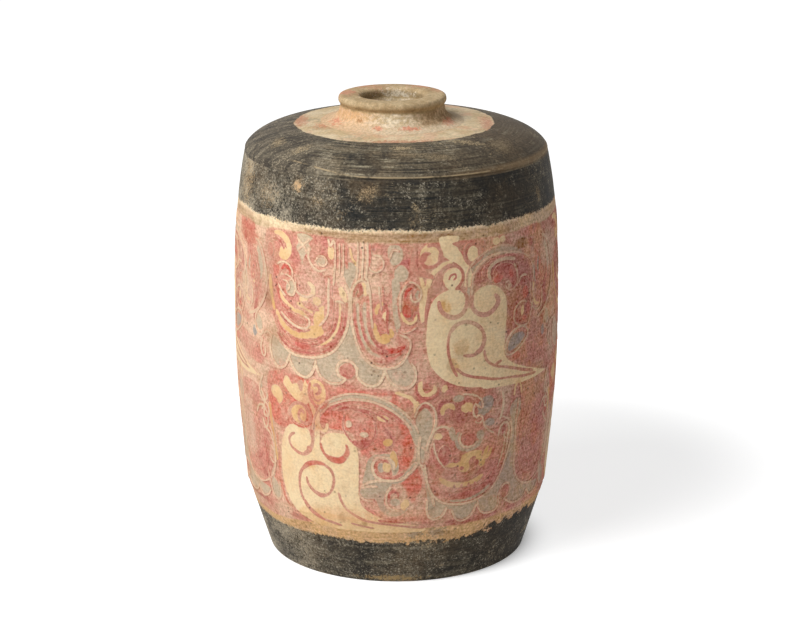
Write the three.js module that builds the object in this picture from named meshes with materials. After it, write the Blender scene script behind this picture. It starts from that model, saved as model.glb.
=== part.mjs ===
// A painted earthenware jar: a slightly bulging cylinder on a tapered foot, with a low domed
// shoulder, a short neck and a thick rolled mouth. Such a jar is thrown in sections that are
// luted together with slip and then fired as one, so each section is a solid of its own:
// a base slab, the body wall, the shoulder, the neck collar and the coil of the mouth rim.
// Millimetres, +Z up, the origin at the centre of the foot.
import * as THREE from "three";

// Driving dimensions
const BODY_HEIGHT = 302.6; // up to the flat seat that the neck stands on
const TOTAL_HEIGHT = 320.9;
const FOOT_RADIUS = 90.1;
const FOOT_ARRIS = 1.6; // worn edge round the underside
const CREASE_RADIUS = 105.7; // where the foot's taper meets the barrel
const CREASE_HEIGHT = 49.4;
const BELLY_RADIUS = 112.4;
const BELLY_HEIGHT = 155;
const EDGE_RADIUS = 103.5; // the arris between wall and shoulder
const EDGE_HEIGHT = 285.3;
const TOOLED_LINE = 0.45; // depth of the line turned just under that arris
const SEAT_RADIUS = 50; // flat top of the shoulder round its opening

const BASE_THICKNESS = 10;
const WALL_THICKNESS = 9;
const SHOULDER_THICKNESS = 8.5;
const SHOULDER_JOINT = EDGE_HEIGHT - 2.3; // wall below, shoulder above
const SHOULDER_OPENING = 26;

const NECK_OFFSET = 2.7; // the neck was set a little off the wheel's centre
const NECK_RADIUS = 35.6;
const NECK_FLARE_RADIUS = 47;
const NECK_FLARE_HEIGHT = 8.2;
const MOUTH_RADIUS = 22; // clear bore of neck and mouth
const RIM_JOINT = 314.3; // neck below, rim coil above
const RIM_RADIUS = 36.9;
const RIM_WIDEST = 316.9; // height at which the rolled rim is widest
const RIM_LAND = [26, 32]; // level ring on top of the rim, where a cover would rest

const THROWING_RINGS = 8; // finger ridges that the wheel left inside the wall
const RING_DEPTH = 0.8;
const AROUND = 72; // facets of each full turn

// A point of a half profile: distance from the axis, height.
const at = (radius, height) => new THREE.Vector2(radius, height);

// Cuts a piece of a curve into steps, and leaves out its first point when it carries on a line.
const along = (curve, steps, skipFirst = true) => curve.getPoints(steps).slice(skipFirst ? 1 : 0);

// A quarter-round from one point to another round a corner point.
const rounded = (from, corner, to, steps = 4) =>
  along(new THREE.QuadraticBezierCurve(from, corner, to), steps);

// The barrel's outer line in two curves that meet upright at the belly.
const lowerBarrel = new THREE.CubicBezierCurve(
  at(CREASE_RADIUS, CREASE_HEIGHT),
  at(CREASE_RADIUS + 2.3, CREASE_HEIGHT + 25.6),
  at(BELLY_RADIUS, BELLY_HEIGHT - 40),
  at(BELLY_RADIUS, BELLY_HEIGHT),
);
const upperBarrel = new THREE.CubicBezierCurve(
  at(BELLY_RADIUS, BELLY_HEIGHT),
  at(BELLY_RADIUS + 0.2, BELLY_HEIGHT + 50),
  at(BELLY_RADIUS - 0.9, EDGE_HEIGHT - 35.3),
  at(EDGE_RADIUS, EDGE_HEIGHT),
);

// The shoulder's outer line, from the arris in to the flat seat of the neck.
const shoulderLine = new THREE.CubicBezierCurve(
  at(EDGE_RADIUS, EDGE_HEIGHT + 0.7),
  at(EDGE_RADIUS - 5.5, EDGE_HEIGHT + 9.5),
  at(SEAT_RADIUS + 30, BODY_HEIGHT - 0.6),
  at(SEAT_RADIUS, BODY_HEIGHT),
);

// Radius of a curve at a height, by halving the stretch that holds it.
function radiusAt(curve, height) {
  let low = 0;
  let high = 1;
  for (let i = 0; i < 30; i++) {
    const middle = (low + high) / 2;
    if (curve.getPoint(middle).y < height) low = middle;
    else high = middle;
  }
  return curve.getPoint(low).x;
}

const footRadius = (height) =>
  THREE.MathUtils.mapLinear(height, 0, CREASE_HEIGHT, FOOT_RADIUS, CREASE_RADIUS);

// Outside of foot and barrel at any height below the shoulder.
function outsideAt(height) {
  if (height < CREASE_HEIGHT) return footRadius(height);
  return radiusAt(height < BELLY_HEIGHT ? lowerBarrel : upperBarrel, height);
}

// Turns a closed half profile, listed with its outside going up, into a ring or disc.
function turned(name, profile, material, onAxis = false) {
  const points = onAxis ? profile : [...profile, profile[0]];
  const mesh = new THREE.Mesh(new THREE.LatheGeometry(points, AROUND), material);
  mesh.name = name;
  mesh.rotation.x = Math.PI / 2; // the lathe turns about Y, the jar stands along Z
  return mesh;
}

const clay = (color, roughness = 0.92) =>
  new THREE.MeshStandardMaterial({ color, roughness, metalness: 0 });
const paintedBlack = clay(0x4c463d);
const paintedRed = clay(0xc98f77);
const paleSlip = clay(0xd9bf94);
const bareRim = clay(0xa8916c);

// The flat slab that the wall was built up on, with its share of the foot's taper.
function baseSlab() {
  const underEdge = at(FOOT_RADIUS - FOOT_ARRIS, 0);
  const sideEdge = at(footRadius(FOOT_ARRIS), FOOT_ARRIS);
  const profile = [
    at(0, 0),
    underEdge,
    ...rounded(underEdge, at(FOOT_RADIUS, 0), sideEdge),
    at(footRadius(BASE_THICKNESS), BASE_THICKNESS),
    at(0, BASE_THICKNESS),
  ];
  return turned("base_slab", profile, paintedBlack, true);
}

// Foot and barrel in one thrown wall. Inside, a fillet meets the slab and the throwing rings rise.
function bodyWall() {
  const fillet = 7;
  const innerFoot = footRadius(BASE_THICKNESS) - WALL_THICKNESS;
  const filletTop = BASE_THICKNESS + fillet;
  const outside = [
    at(footRadius(BASE_THICKNESS), BASE_THICKNESS),
    at(CREASE_RADIUS, CREASE_HEIGHT),
    ...along(lowerBarrel, 7),
    ...along(upperBarrel, 9).filter((point) => point.y < SHOULDER_JOINT - 3),
    at(outsideAt(SHOULDER_JOINT), SHOULDER_JOINT),
  ];
  const ringFrom = SHOULDER_JOINT - 6;
  const ringStep = (ringFrom - filletTop - 4) / (2 * THROWING_RINGS);
  const inside = [at(outsideAt(SHOULDER_JOINT) - WALL_THICKNESS, SHOULDER_JOINT)];
  for (let i = 0; i <= 2 * THROWING_RINGS; i++) {
    const height = ringFrom - i * ringStep;
    const ridge = i % 2 ? RING_DEPTH : 0;
    inside.push(at(outsideAt(height) - WALL_THICKNESS - ridge, height));
  }
  inside.push(
    at(outsideAt(filletTop) - WALL_THICKNESS, filletTop),
    at(innerFoot - fillet * 0.35, BASE_THICKNESS + fillet * 0.3),
    at(innerFoot - fillet, BASE_THICKNESS),
  );
  return turned("body_wall", [...outside, ...inside], paintedRed);
}

// The low dome that closes the wall, with the turned line round its arris.
function shoulder() {
  const jointRadius = outsideAt(SHOULDER_JOINT);
  const underside = new THREE.CubicBezierCurve(
    at(SHOULDER_OPENING, BODY_HEIGHT - SHOULDER_THICKNESS),
    at(SEAT_RADIUS + 22, BODY_HEIGHT - SHOULDER_THICKNESS - 0.8),
    at(EDGE_RADIUS - 13, EDGE_HEIGHT + 4),
    at(jointRadius - WALL_THICKNESS, SHOULDER_JOINT),
  );
  const profile = [
    at(jointRadius, SHOULDER_JOINT),
    at(outsideAt(EDGE_HEIGHT - 1.5), EDGE_HEIGHT - 1.5),
    at(outsideAt(EDGE_HEIGHT - 0.8) - TOOLED_LINE, EDGE_HEIGHT - 0.8),
    at(EDGE_RADIUS + 0.2, EDGE_HEIGHT),
    ...along(shoulderLine, 9, false),
    at(SHOULDER_OPENING, BODY_HEIGHT),
    ...along(underside, 6, false).slice(0, -1),
    at(jointRadius - WALL_THICKNESS, SHOULDER_JOINT),
  ];
  return turned("shoulder", profile, paintedBlack);
}

// The collar: a hollow sweep up from the shoulder to the short upright throat.
function neck() {
  const sweep = new THREE.CubicBezierCurve(
    at(NECK_FLARE_RADIUS, BODY_HEIGHT + 0.6),
    at(NECK_FLARE_RADIUS - 5, BODY_HEIGHT + 1.7),
    at(NECK_RADIUS + 1.2, BODY_HEIGHT + 4.2),
    at(NECK_RADIUS, BODY_HEIGHT + NECK_FLARE_HEIGHT),
  );
  const profile = [
    at(NECK_FLARE_RADIUS, BODY_HEIGHT),
    ...along(sweep, 6, false),
    at(NECK_RADIUS - 0.5, RIM_JOINT),
    at(MOUTH_RADIUS + 0.6, RIM_JOINT),
    at(MOUTH_RADIUS, (BODY_HEIGHT + RIM_JOINT) / 2),
    at(MOUTH_RADIUS + 1.2, BODY_HEIGHT),
  ];
  const mesh = turned("neck", profile, paleSlip);
  mesh.position.x = -NECK_OFFSET;
  return mesh;
}

// The rolled coil of the mouth: round outside, a level land on top, a soft lip to the bore.
function mouthRim() {
  const top = TOTAL_HEIGHT;
  const [landIn, landOut] = RIM_LAND;
  const underEdge = at(NECK_RADIUS - 0.5, RIM_JOINT);
  const widest = at(RIM_RADIUS, RIM_WIDEST);
  const lipInner = at(MOUTH_RADIUS, top - 2.6);
  const profile = [
    underEdge,
    ...rounded(underEdge, at(RIM_RADIUS, RIM_JOINT + 0.2), widest, 3),
    ...rounded(widest, at(RIM_RADIUS, top), at(landOut, top), 5),
    at(landIn, top),
    ...rounded(at(landIn, top), at(MOUTH_RADIUS, top), lipInner, 4),
    at(MOUTH_RADIUS + 0.6, RIM_JOINT),
  ];
  const mesh = turned("mouth_rim", profile, bareRim);
  mesh.position.x = -NECK_OFFSET;
  return mesh;
}

const jar = new THREE.Group();
jar.add(baseSlab(), bodyWall(), shoulder(), neck(), mouthRim());

export default jar;
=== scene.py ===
import math

import bpy
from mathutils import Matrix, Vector, geometry, kdtree, noise


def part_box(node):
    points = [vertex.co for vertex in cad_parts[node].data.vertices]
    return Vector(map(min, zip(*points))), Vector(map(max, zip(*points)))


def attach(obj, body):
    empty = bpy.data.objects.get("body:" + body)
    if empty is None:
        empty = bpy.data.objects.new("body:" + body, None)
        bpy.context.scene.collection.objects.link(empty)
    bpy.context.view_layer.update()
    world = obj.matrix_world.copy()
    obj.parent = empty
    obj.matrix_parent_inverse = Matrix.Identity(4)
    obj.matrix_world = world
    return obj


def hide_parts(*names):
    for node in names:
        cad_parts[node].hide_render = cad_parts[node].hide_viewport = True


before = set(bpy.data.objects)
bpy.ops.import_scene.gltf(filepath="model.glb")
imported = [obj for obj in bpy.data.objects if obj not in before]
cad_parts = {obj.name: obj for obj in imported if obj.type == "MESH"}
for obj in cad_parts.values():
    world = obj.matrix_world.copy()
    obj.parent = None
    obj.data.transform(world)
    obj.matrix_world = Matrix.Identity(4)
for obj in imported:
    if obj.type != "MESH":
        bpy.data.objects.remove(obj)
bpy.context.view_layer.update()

# Base slab
# A flat slab of grey-buff earthenware that the wall was luted onto. Its underside is bare and
# dusty, and its side carries the brown-black earth paint of the foot.
MM = 0.001
STEPS_AROUND = 288
FOOT_RADIUS = 90.1 * MM
FOOT_ARRIS = 1.6 * MM
CREASE_RADIUS = 105.7 * MM
CREASE_HEIGHT = 49.4 * MM
SLAB_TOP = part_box("base_slab")[1].z
WELD = 0.01 * MM
ON_AXIS = 0.1 * MM
SLOW_WAVER = 0.30
RIDGE_WAVER = 0.09
GRAIN_DEPTH = 0.6 * MM
CLAY_SHEEN = 0.12


def bent(start, lead, trail, end, count):
    """Points of one curved stretch of an outline, its first point left out."""
    corners = [Vector((*place, 0)) for place in (start, lead, trail, end)]
    return [p[:2] for p in geometry.interpolate_bezier(*corners, count + 1)][1:]


def straight(start, end, count):
    """Points of one straight stretch of an outline, its first point left out."""
    return [tuple(Vector(start).lerp(Vector(end), (i + 1) / count)) for i in range(count)]


def foot_radius(height):
    return FOOT_RADIUS + (CREASE_RADIUS - FOOT_RADIUS) * height / CREASE_HEIGHT


def hand_waver(angle, height):
    """How far the thrown clay stands out from a true circle."""
    x, y = math.cos(angle), math.sin(angle)
    slow = noise.noise(Vector((x * 1.3 + 3.1, y * 1.3 + 7.7, height * 16)))
    ridges = noise.noise(Vector((x * 0.8, y * 0.8, height * 150)))
    return (SLOW_WAVER * slow + RIDGE_WAVER * ridges) * MM


def turned(name, outline, centre_x=0.0, smooth_below=40):
    """Draws half an outline of (radius, height) edge by edge and spins it into a thrown piece."""
    bpy.ops.object.select_all(action="DESELECT")
    bpy.ops.mesh.primitive_plane_add(size=MM, location=(0, 0, 0))
    piece = bpy.context.object
    piece.name = piece.data.name = name
    bpy.ops.object.mode_set(mode="EDIT")
    bpy.ops.mesh.select_all(action="SELECT")
    bpy.ops.mesh.merge(type="CENTER")
    here = (0.0, 0.0)
    for number, there in enumerate(outline):
        step = (there[0] - here[0], 0, there[1] - here[1])
        if number:
            bpy.ops.mesh.extrude_region_move(TRANSFORM_OT_translate={"value": step})
        else:
            bpy.ops.transform.translate(value=step)
        here = there
    bpy.ops.mesh.select_all(action="SELECT")
    bpy.ops.mesh.remove_doubles(threshold=WELD)
    bpy.ops.mesh.spin(steps=STEPS_AROUND, angle=math.tau, center=(0, 0, 0), axis=(0, 0, 1))
    bpy.ops.mesh.select_all(action="SELECT")
    bpy.ops.mesh.remove_doubles(threshold=WELD)
    bpy.ops.mesh.normals_make_consistent(inside=False)
    bpy.ops.object.mode_set(mode="OBJECT")
    for vertex in piece.data.vertices:
        radius = math.hypot(vertex.co.x, vertex.co.y)
        if radius > ON_AXIS:
            angle = math.atan2(vertex.co.y, vertex.co.x)
            push = hand_waver(angle, vertex.co.z) * min(1.0, radius / FOOT_RADIUS)
            vertex.co.x *= 1 + push / radius
            vertex.co.y *= 1 + push / radius
        vertex.co.x += centre_x
    bpy.ops.object.shade_smooth_by_angle(angle=math.radians(smooth_below))
    return piece


def earth(red, green, blue):
    """A pigment given as it looks in daylight, 0 to 255, as a shader colour."""
    def light(value):
        value /= 255
        return value / 12.92 if value < 0.04045 else ((value + 0.055) / 1.055) ** 2.4
    return light(red), light(green), light(blue), 1.0


def add(tree, kind, inputs=None, **settings):
    """Adds a shader node; each input is given a value or wired to another node's output."""
    made = tree.nodes.new("ShaderNode" + kind)
    for key, value in settings.items():
        setattr(made, key, value)
    for key, value in (inputs or {}).items():
        if isinstance(value, bpy.types.NodeSocket):
            tree.links.new(value, made.inputs[key])
        else:
            made.inputs[key].default_value = value
    return made


def tree_of(*values):
    """The node tree that the first socket among the values belongs to."""
    return next(value.id_data for value in values if isinstance(value, bpy.types.NodeSocket))


def maths(operation, *values, use_clamp=False):
    made = add(tree_of(*values), "Math", dict(enumerate(values)), operation=operation,
               use_clamp=use_clamp)
    return made.outputs[0]


def times(one, other, **settings):
    return maths("MULTIPLY", one, other, **settings)


def plus(one, other, **settings):
    return maths("ADD", one, other, **settings)


def minus(one, other):
    return maths("SUBTRACT", one, other)


def scaled(value, factor, shift, **settings):
    """The value times the factor, plus the shift."""
    return maths("MULTIPLY_ADD", value, factor, shift, **settings)


def blend(amount, under, over, how="MIX"):
    made = add(tree_of(amount, under, over), "Mix", {0: amount, 6: under, 7: over}, data_type="RGBA",
               blend_type=how)
    return made.outputs[2]


def eased(value, low, high):
    """0 below low, 1 above high, and a smooth step between."""
    made = add(tree_of(value, low), "MapRange", {"Value": value, "From Min": low, "From Max": high},
               interpolation_type="SMOOTHSTEP")
    return made.outputs[0]


def cloudy(place, scale, detail=4.0, roughness=0.6, warp=0.0):
    made = add(tree_of(place), "TexNoise",
               {"Vector": place, "Scale": scale, "Detail": detail, "Roughness": roughness,
                "Distortion": warp})
    return made.outputs[0]


def patches(place, scale, detail, roughness, low, high, warp=0.0):
    """Soft patches: the part of a cloudy texture that stands above low, full at high."""
    return eased(cloudy(place, scale, detail, roughness, warp), low, high)


def object_place(tree):
    return add(tree, "TexCoord").outputs["Object"]


def parted(place):
    """The x, y and z of a place."""
    return add(tree_of(place), "SeparateXYZ", {0: place}).outputs


def shader_group(name, inputs, outputs):
    """An empty node group with its named sockets, given as name: kind."""
    tree = bpy.data.node_groups.new(name, "ShaderNodeTree")
    for key, kind in inputs.items():
        tree.interface.new_socket(key, in_out="INPUT", socket_type="NodeSocket" + kind)
    for key, kind in outputs.items():
        tree.interface.new_socket(key, in_out="OUTPUT", socket_type="NodeSocket" + kind)
    return tree, tree.nodes.new("NodeGroupInput").outputs, tree.nodes.new("NodeGroupOutput").inputs


def hand_over(gives, results):
    """Wires a group's results to the sockets it gives them out by."""
    for key, value in results.items():
        value.id_data.links.new(value, gives[key])


def use_group(tree, name, inputs=None):
    return add(tree, "Group", inputs, node_tree=bpy.data.node_groups[name]).outputs


def fired_finish(name, build, bump=0.35):
    """A clay material: build(tree) gives its colour, roughness and height sockets."""
    material = bpy.data.materials.new(name)
    material.use_nodes = True
    tree = material.node_tree
    shader = tree.nodes["Principled BSDF"]
    colour, roughness, height = build(tree)
    tree.links.new(colour, shader.inputs["Base Color"])
    tree.links.new(roughness, shader.inputs["Roughness"])
    relief = add(tree, "Bump", {"Strength": bump, "Distance": GRAIN_DEPTH, "Height": height})
    tree.links.new(relief.outputs[0], shader.inputs["Normal"])
    shader.inputs["Specular IOR Level"].default_value = CLAY_SHEEN
    return material


# Clay grain: pitted, mottled earthenware, for every piece
tree, given, gives = shader_group(
    "clay_grain", {}, {"Mottle": "Float", "Sand": "Float", "Pits": "Float", "Height": "Float"})
place = object_place(tree)
mottle = cloudy(place, 42.0, 7.0, 0.62)
sand = cloudy(place, 600.0, 2.0, 0.6)
cell = add(tree, "TexVoronoi", {"Vector": place, "Scale": 150.0, "Randomness": 1.0})
chance = maths("GREATER_THAN", add(tree, "SeparateColor", {0: cell.outputs["Color"]}).outputs[0], 0.72)
pit = times(eased(cell.outputs["Distance"], 0.20, 0.08), chance)
height = minus(scaled(sand, 0.5, mottle), pit)
hand_over(gives, {"Mottle": mottle, "Sand": sand, "Pits": pit, "Height": height})

# Wheel streaks: fine lines that follow the turning of the wheel over wall and shoulder
tree, given, gives = shader_group("wheel_streaks", {"Fineness": "Float"}, {"Streak": "Float"})
place = object_place(tree)
axes = parted(place)
radius = maths("SQRT", plus(maths("POWER", axes[0], 2.0), maths("POWER", axes[1], 2.0)))
across = times(minus(axes[2], radius), given["Fineness"])
along = add(tree, "CombineXYZ", {0: times(axes[0], 14.0), 1: times(axes[1], 14.0), 2: across})
hand_over(gives, {"Streak": cloudy(along.outputs[0], 1.0, 5.0, 0.65, 0.4)})

# Blot: one worn or stained place of the surface, frayed at its edge
tree, given, gives = shader_group("blot", {"Centre": "Vector", "Spread": "Vector", "Fray": "Float"},
                                  {"Amount": "Float"})
place = object_place(tree)
away = add(tree, "VectorMath", {0: place, 1: given["Centre"]}, operation="SUBTRACT")
away = add(tree, "VectorMath", {0: away.outputs[0], 1: given["Spread"]}, operation="DIVIDE")
away = add(tree, "VectorMath", {0: away.outputs[0]}, operation="LENGTH").outputs["Value"]
ragged = times(minus(cloudy(place, 400.0, 6.0, 0.8), 0.5), given["Fray"])
hand_over(gives, {"Amount": eased(plus(away, ragged), 1.1, 0.5)})


def blot(place, centre, spread, strength=1.0, fray=6.0):
    """How strongly one worn or stained place, given in mm, shows here."""
    made = use_group(place.id_data, "blot",
                     {"Centre": [value * MM for value in centre],
                      "Spread": [value * MM for value in spread], "Fray": fray})
    return times(made[0], strength)


# Black earth paint: matt brown-black, thin enough that the buff clay shows in flecks and scuffs
tree, given, gives = shader_group(
    "black_earth", {"Dust": "Float", "Warmth": "Float", "Brushed": "Float", "Shade": "Float"},
    {"Color": "Color", "Roughness": "Float", "Height": "Float"})
place = object_place(tree)
grain = use_group(tree, "clay_grain")
streaks = use_group(tree, "wheel_streaks", {"Fineness": 640.0})[0]
tone = plus(patches(place, 20.0, 6.0, 0.65, 0.44, 0.66), given["Warmth"], use_clamp=True)
coat = blend(tone, earth(32, 35, 36), earth(76, 64, 50))
brushed = times(eased(streaks, 0.36, 0.64),
                times(given["Brushed"], patches(place, 24.0, 6.0, 0.7, 0.32, 0.60, 0.5)))
coat = blend(brushed, coat, earth(120, 108, 88))
lines = use_group(tree, "wheel_streaks", {"Fineness": 380.0})[0]
broken = patches(place, 75.0, 5.0, 0.7, 0.46, 0.60, 0.5)
bristles = times(eased(lines, 0.50, 0.60), times(given["Brushed"], broken))
coat = blend(times(bristles, 0.8), coat, earth(160, 150, 126))
across = parted(place)[0]
# Painted shade: the coat darkens towards the right, the side turned from the lamp, by as much as the
# Shade input gives.
shade = times(eased(across, 0.0, 0.080), given["Shade"])
coat = blend(shade, coat, earth(30, 26, 22))
# Dust lies heavier towards the left, the lit side: real dust, and painted light there.
dust_and_left_light = scaled(across, -0.7, scaled(given["Dust"], 0.2, cloudy(place, 38.0, 8.0, 0.8, 0.4)))
dust_and_left_light = scaled(cloudy(place, 150.0, 4.0, 0.7), 0.7, dust_and_left_light)
dust_and_left_light = minus(dust_and_left_light, 0.35)
fine = cloudy(place, 860.0, 2.5, 0.7)
net = times(eased(fine, 0.53, 0.62), eased(dust_and_left_light, 0.44, 0.66))
coat = blend(times(eased(dust_and_left_light, 0.46, 0.78), 0.26), coat, earth(122, 114, 98))
coat = blend(times(net, 0.66), coat, earth(178, 168, 148))
# Sifted dust only towards the left: dust and painted light on the lit side.
sifted_dust_and_left_light = times(eased(across, -0.020, -0.100), eased(scaled(fine, 0.6, times(dust_and_left_light, 0.4)), 0.45, 0.55))
thick = scaled(patches(place, 24.0, 5.0, 0.75, 0.44, 0.58, 0.4), 0.58, 0.10)
coat = blend(times(sifted_dust_and_left_light, thick), coat, earth(180, 168, 146))
chips = times(patches(place, 27.0, 9.0, 0.8, 0.59, 0.64), eased(fine, 0.44, 0.54))
turned_place = add(tree, "Mapping", {0: place, 2: (0.5, 0.6, 0.3), 3: (60, 500, 500)})
scratch = maths("ABSOLUTE", minus(cloudy(turned_place.outputs[0], 1.0, 2.0, 0.5, 0.6), 0.5))
scratch = times(eased(scratch, 0.016, 0.004), eased(cloudy(place, 48.0, 3.0), 0.5, 0.6))
flecks = maths("MAXIMUM", chips, times(scratch, 0.5))
coat = blend(times(flecks, 0.8), coat, earth(190, 168, 132))
coat = blend(times(grain["Pits"], 0.6), coat, earth(36, 32, 28))
coat = blend(1.0, coat, scaled(grain["Sand"], 2.2, -0.1), "MULTIPLY")
hand_over(gives,
          {"Color": coat, "Roughness": scaled(fine, 0.3, 0.5),
           "Height": minus(grain["Height"], flecks)})

slab_edge = (foot_radius(FOOT_ARRIS), FOOT_ARRIS)
slab_under = (FOOT_RADIUS - FOOT_ARRIS, 0.0)
slab_corner = (FOOT_RADIUS, 0.0)
slab_rim = (foot_radius(SLAB_TOP), SLAB_TOP)
slab_outline = [(0.0, 0.0), *straight((0.0, 0.0), slab_under, 8),
                *bent(slab_under, slab_corner, slab_corner, slab_edge, 6),
                *straight(slab_edge, slab_rim, 4), *straight(slab_rim, (0.0, SLAB_TOP), 5)]
jar_base = turned("jar_base", slab_outline)


def base_colours(tree):
    # Shade 0.8: painted shade darkens the foot's black towards the right.
    paint = use_group(tree, "black_earth", {"Dust": 0.35, "Warmth": 0.28, "Brushed": 0.6, "Shade": 0.8})
    place = object_place(tree)
    height = parted(place)[2]
    colour = blend(blot(place, (-4, -91, 3), (20, 12, 2.2), 0.7), paint[0], earth(190, 158, 108))
    ragged = scaled(cloudy(place, 60.0), 0.006, height)
    under = eased(ragged, 0.0036, 0.0022)
    clay = blend(cloudy(place, 24.0, 6.0), earth(150, 130, 104), earth(178, 156, 124))
    return (blend(under, colour, clay), paint["Roughness"], paint["Height"])


jar_base.data.materials.append(fired_finish("foot_clay", base_colours))
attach(jar_base, "root")
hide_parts("base_slab")

# Body wall
# Foot and barrel in one thrown wall of buff earthenware, luted to the slab. Outside it is washed
# with pink between a black foot and a black top, each parted from the pink by a cream band.
WALL = 9 * MM
BELLY_RADIUS = 112.4 * MM
BELLY_HEIGHT = 155 * MM
EDGE_RADIUS = 103.5 * MM
EDGE_HEIGHT = 285.3 * MM
SHOULDER_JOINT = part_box("body_wall")[1].z
BAND_LOW = 33 * MM
BAND_LOW_TOP = 44 * MM
BAND_HIGH = 244 * MM
BAND_HIGH_TOP = 252 * MM
INSIDE_RINGS = 8
INSIDE_STEPS = 96
RING_DEPTH = 0.4 * MM
FILLET = 7 * MM

crease = (CREASE_RADIUS, CREASE_HEIGHT)
belly = (BELLY_RADIUS, BELLY_HEIGHT)
wall_line = [slab_rim, *straight(slab_rim, crease, 14),
             *bent(crease, (CREASE_RADIUS + 2.3 * MM, CREASE_HEIGHT + 25.6 * MM),
                   (BELLY_RADIUS, BELLY_HEIGHT - 40 * MM), belly, 38),
             *bent(belly, (BELLY_RADIUS + 0.2 * MM, BELLY_HEIGHT + 50 * MM),
                   (BELLY_RADIUS - 0.9 * MM, EDGE_HEIGHT - 35.3 * MM), (EDGE_RADIUS, EDGE_HEIGHT), 48)]


def outside_at(height):
    """Radius of the wall's outside, read off the straight pieces of its outline."""
    for low, high in zip(wall_line, wall_line[1:]):
        if height <= high[1]:
            break
    share = (height - low[1]) / (high[1] - low[1])
    return low[0] + (high[0] - low[0]) * share


joint = (outside_at(SHOULDER_JOINT), SHOULDER_JOINT)
wall_outline = [p for p in wall_line if p[1] < SHOULDER_JOINT - 0.5 * MM] + [joint]
inner_joint = (joint[0] - WALL, SHOULDER_JOINT)
fillet_top = (outside_at(SLAB_TOP + FILLET) - WALL, SLAB_TOP + FILLET)
fillet_corner = (foot_radius(SLAB_TOP) - WALL, SLAB_TOP)
fillet_foot = (fillet_corner[0] - FILLET, SLAB_TOP)
wall_outline += straight(joint, inner_joint, 3)
for step in range(1, INSIDE_STEPS):
    share = step / INSIDE_STEPS
    height = SHOULDER_JOINT + (fillet_top[1] - SHOULDER_JOINT) * share
    ridge = RING_DEPTH * (1 - math.cos(share * INSIDE_RINGS * math.tau))
    wall_outline.append((outside_at(height) - WALL - ridge, height))
wall_outline += [fillet_top, *bent(fillet_top, fillet_corner, fillet_corner, fillet_foot, 6)]
wall_outline += straight(fillet_foot, slab_rim, 3)
jar_wall = turned("jar_wall", wall_outline)

# Painted ground of the wall: pink wash, two cream bands, black foot and black top
tree, given, gives = shader_group(
    "wall_ground", {}, {"Color": "Color", "Black": "Color", "Covered": "Float", "Height": "Float"})
place = object_place(tree)
axes = parted(place)
height = axes[2]
grain = use_group(tree, "clay_grain")
streaks = use_group(tree, "wheel_streaks", {"Fineness": 260.0})[0]
mottle_and_left_light = scaled(cloudy(place, 30.0, 6.0, 0.65, 0.5), 0.75, times(cloudy(place, 260.0, 5.0, 0.8), 0.25))
# Painted light: the pink turns paler towards the left, the lit side, over its own mottling.
mottle_and_left_light = scaled(axes[0], -0.5, mottle_and_left_light)
pink = blend(eased(mottle_and_left_light, 0.38, 0.60), earth(208, 128, 112), earth(234, 194, 164))
pink = blend(times(eased(streaks, 0.52, 0.7), 0.3), pink, earth(198, 116, 98))
cream = blend(grain["Mottle"], earth(234, 204, 160), earth(246, 222, 184))
front = times(eased(axes[0], -0.074, -0.052), eased(axes[0], 0.0400, 0.0375))
front = times(front, maths("LESS_THAN", axes[1], 0.0))
soiled = maths("MAXIMUM", front, times(eased(cloudy(place, 13.0, 3.0), 0.54, 0.60), 0.8))
soiled = times(soiled, eased(height, BAND_HIGH_TOP - 0.0004, BAND_HIGH_TOP - 0.0034))
cream = blend(times(soiled, 0.95), cream,
              blend(eased(streaks, 0.4, 0.6), earth(150, 114, 78), earth(192, 154, 116)))
tan = blend(grain["Mottle"], earth(214, 166, 112), earth(232, 194, 146))
for centre, spread in (((27.4, -99, 39.9), (7, 7, 4)), ((11.9, -102, 39.8), (5, 5, 3.6)),
                       ((74.5, -70, 38.5), (7, 7, 3))):
    tan = blend(blot(place, centre, spread, 0.85), tan, earth(156, 134, 106))
rough_edge = scaled(cloudy(place, 560.0, 5.0, 0.85), 0.010, -0.005)
slow_edge = scaled(cloudy(place, 40.0, 6.0, 0.7), 0.007, -0.0035)
level = plus(height, plus(rough_edge, slow_edge))
soft_level = scaled(slow_edge, 0.35, height)
low_level = scaled(eased(axes[0], -0.045, -0.085), 0.006, soft_level)
colour = blend(eased(low_level, BAND_LOW_TOP - 0.0004, BAND_LOW_TOP + 0.0008), tan, pink)
colour = blend(eased(soft_level, BAND_HIGH - 0.0008, BAND_HIGH + 0.0004), colour, cream)
# The Shade values are painted shade that darkens each black band towards the right.
high_black = use_group(tree, "black_earth", {"Dust": 0.1, "Warmth": 0.05, "Brushed": 0.4, "Shade": 0.5})
low_black = use_group(tree, "black_earth", {"Dust": 0.35, "Warmth": 0.28, "Brushed": 0.6, "Shade": 0.8})
black = blend(maths("LESS_THAN", height, 0.1), high_black[0], low_black[0])
flecked = patches(place, 1000.0, 5.0, 0.9, 0.47, 0.56)
black = blend(blot(place, (-64, -83.5, 276.6), (3, 3, 3.4), 0.95), black, earth(212, 172, 128))
for centre, spread, strength in (
        ((-64, -83.5, 276.6), (5, 5, 5), 0.6), ((-18, -104, 276), (5.5, 5, 5), 0.7),
        ((95, -51, 263), (2.6, 2.6, 7), 0.5), ((-50, -93, 268), (5, 4, 3), 0.6),
        ((-101, -38, 270), (8, 12, 22), 0.75), ((12, -104, 258), (5, 4, 5), 0.4),
        ((-34, -99, 261), (5, 4, 5), 0.4), ((-84, -64, 266), (10, 10, 8), 0.5)):
    black = blend(times(blot(place, centre, spread, strength), flecked), black, earth(206, 176, 134))
top_edge = eased(level, BAND_HIGH_TOP - 0.0002, BAND_HIGH_TOP + 0.0004)
risen = scaled(eased(axes[0], 0.045, 0.085), -0.006, level)
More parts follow.
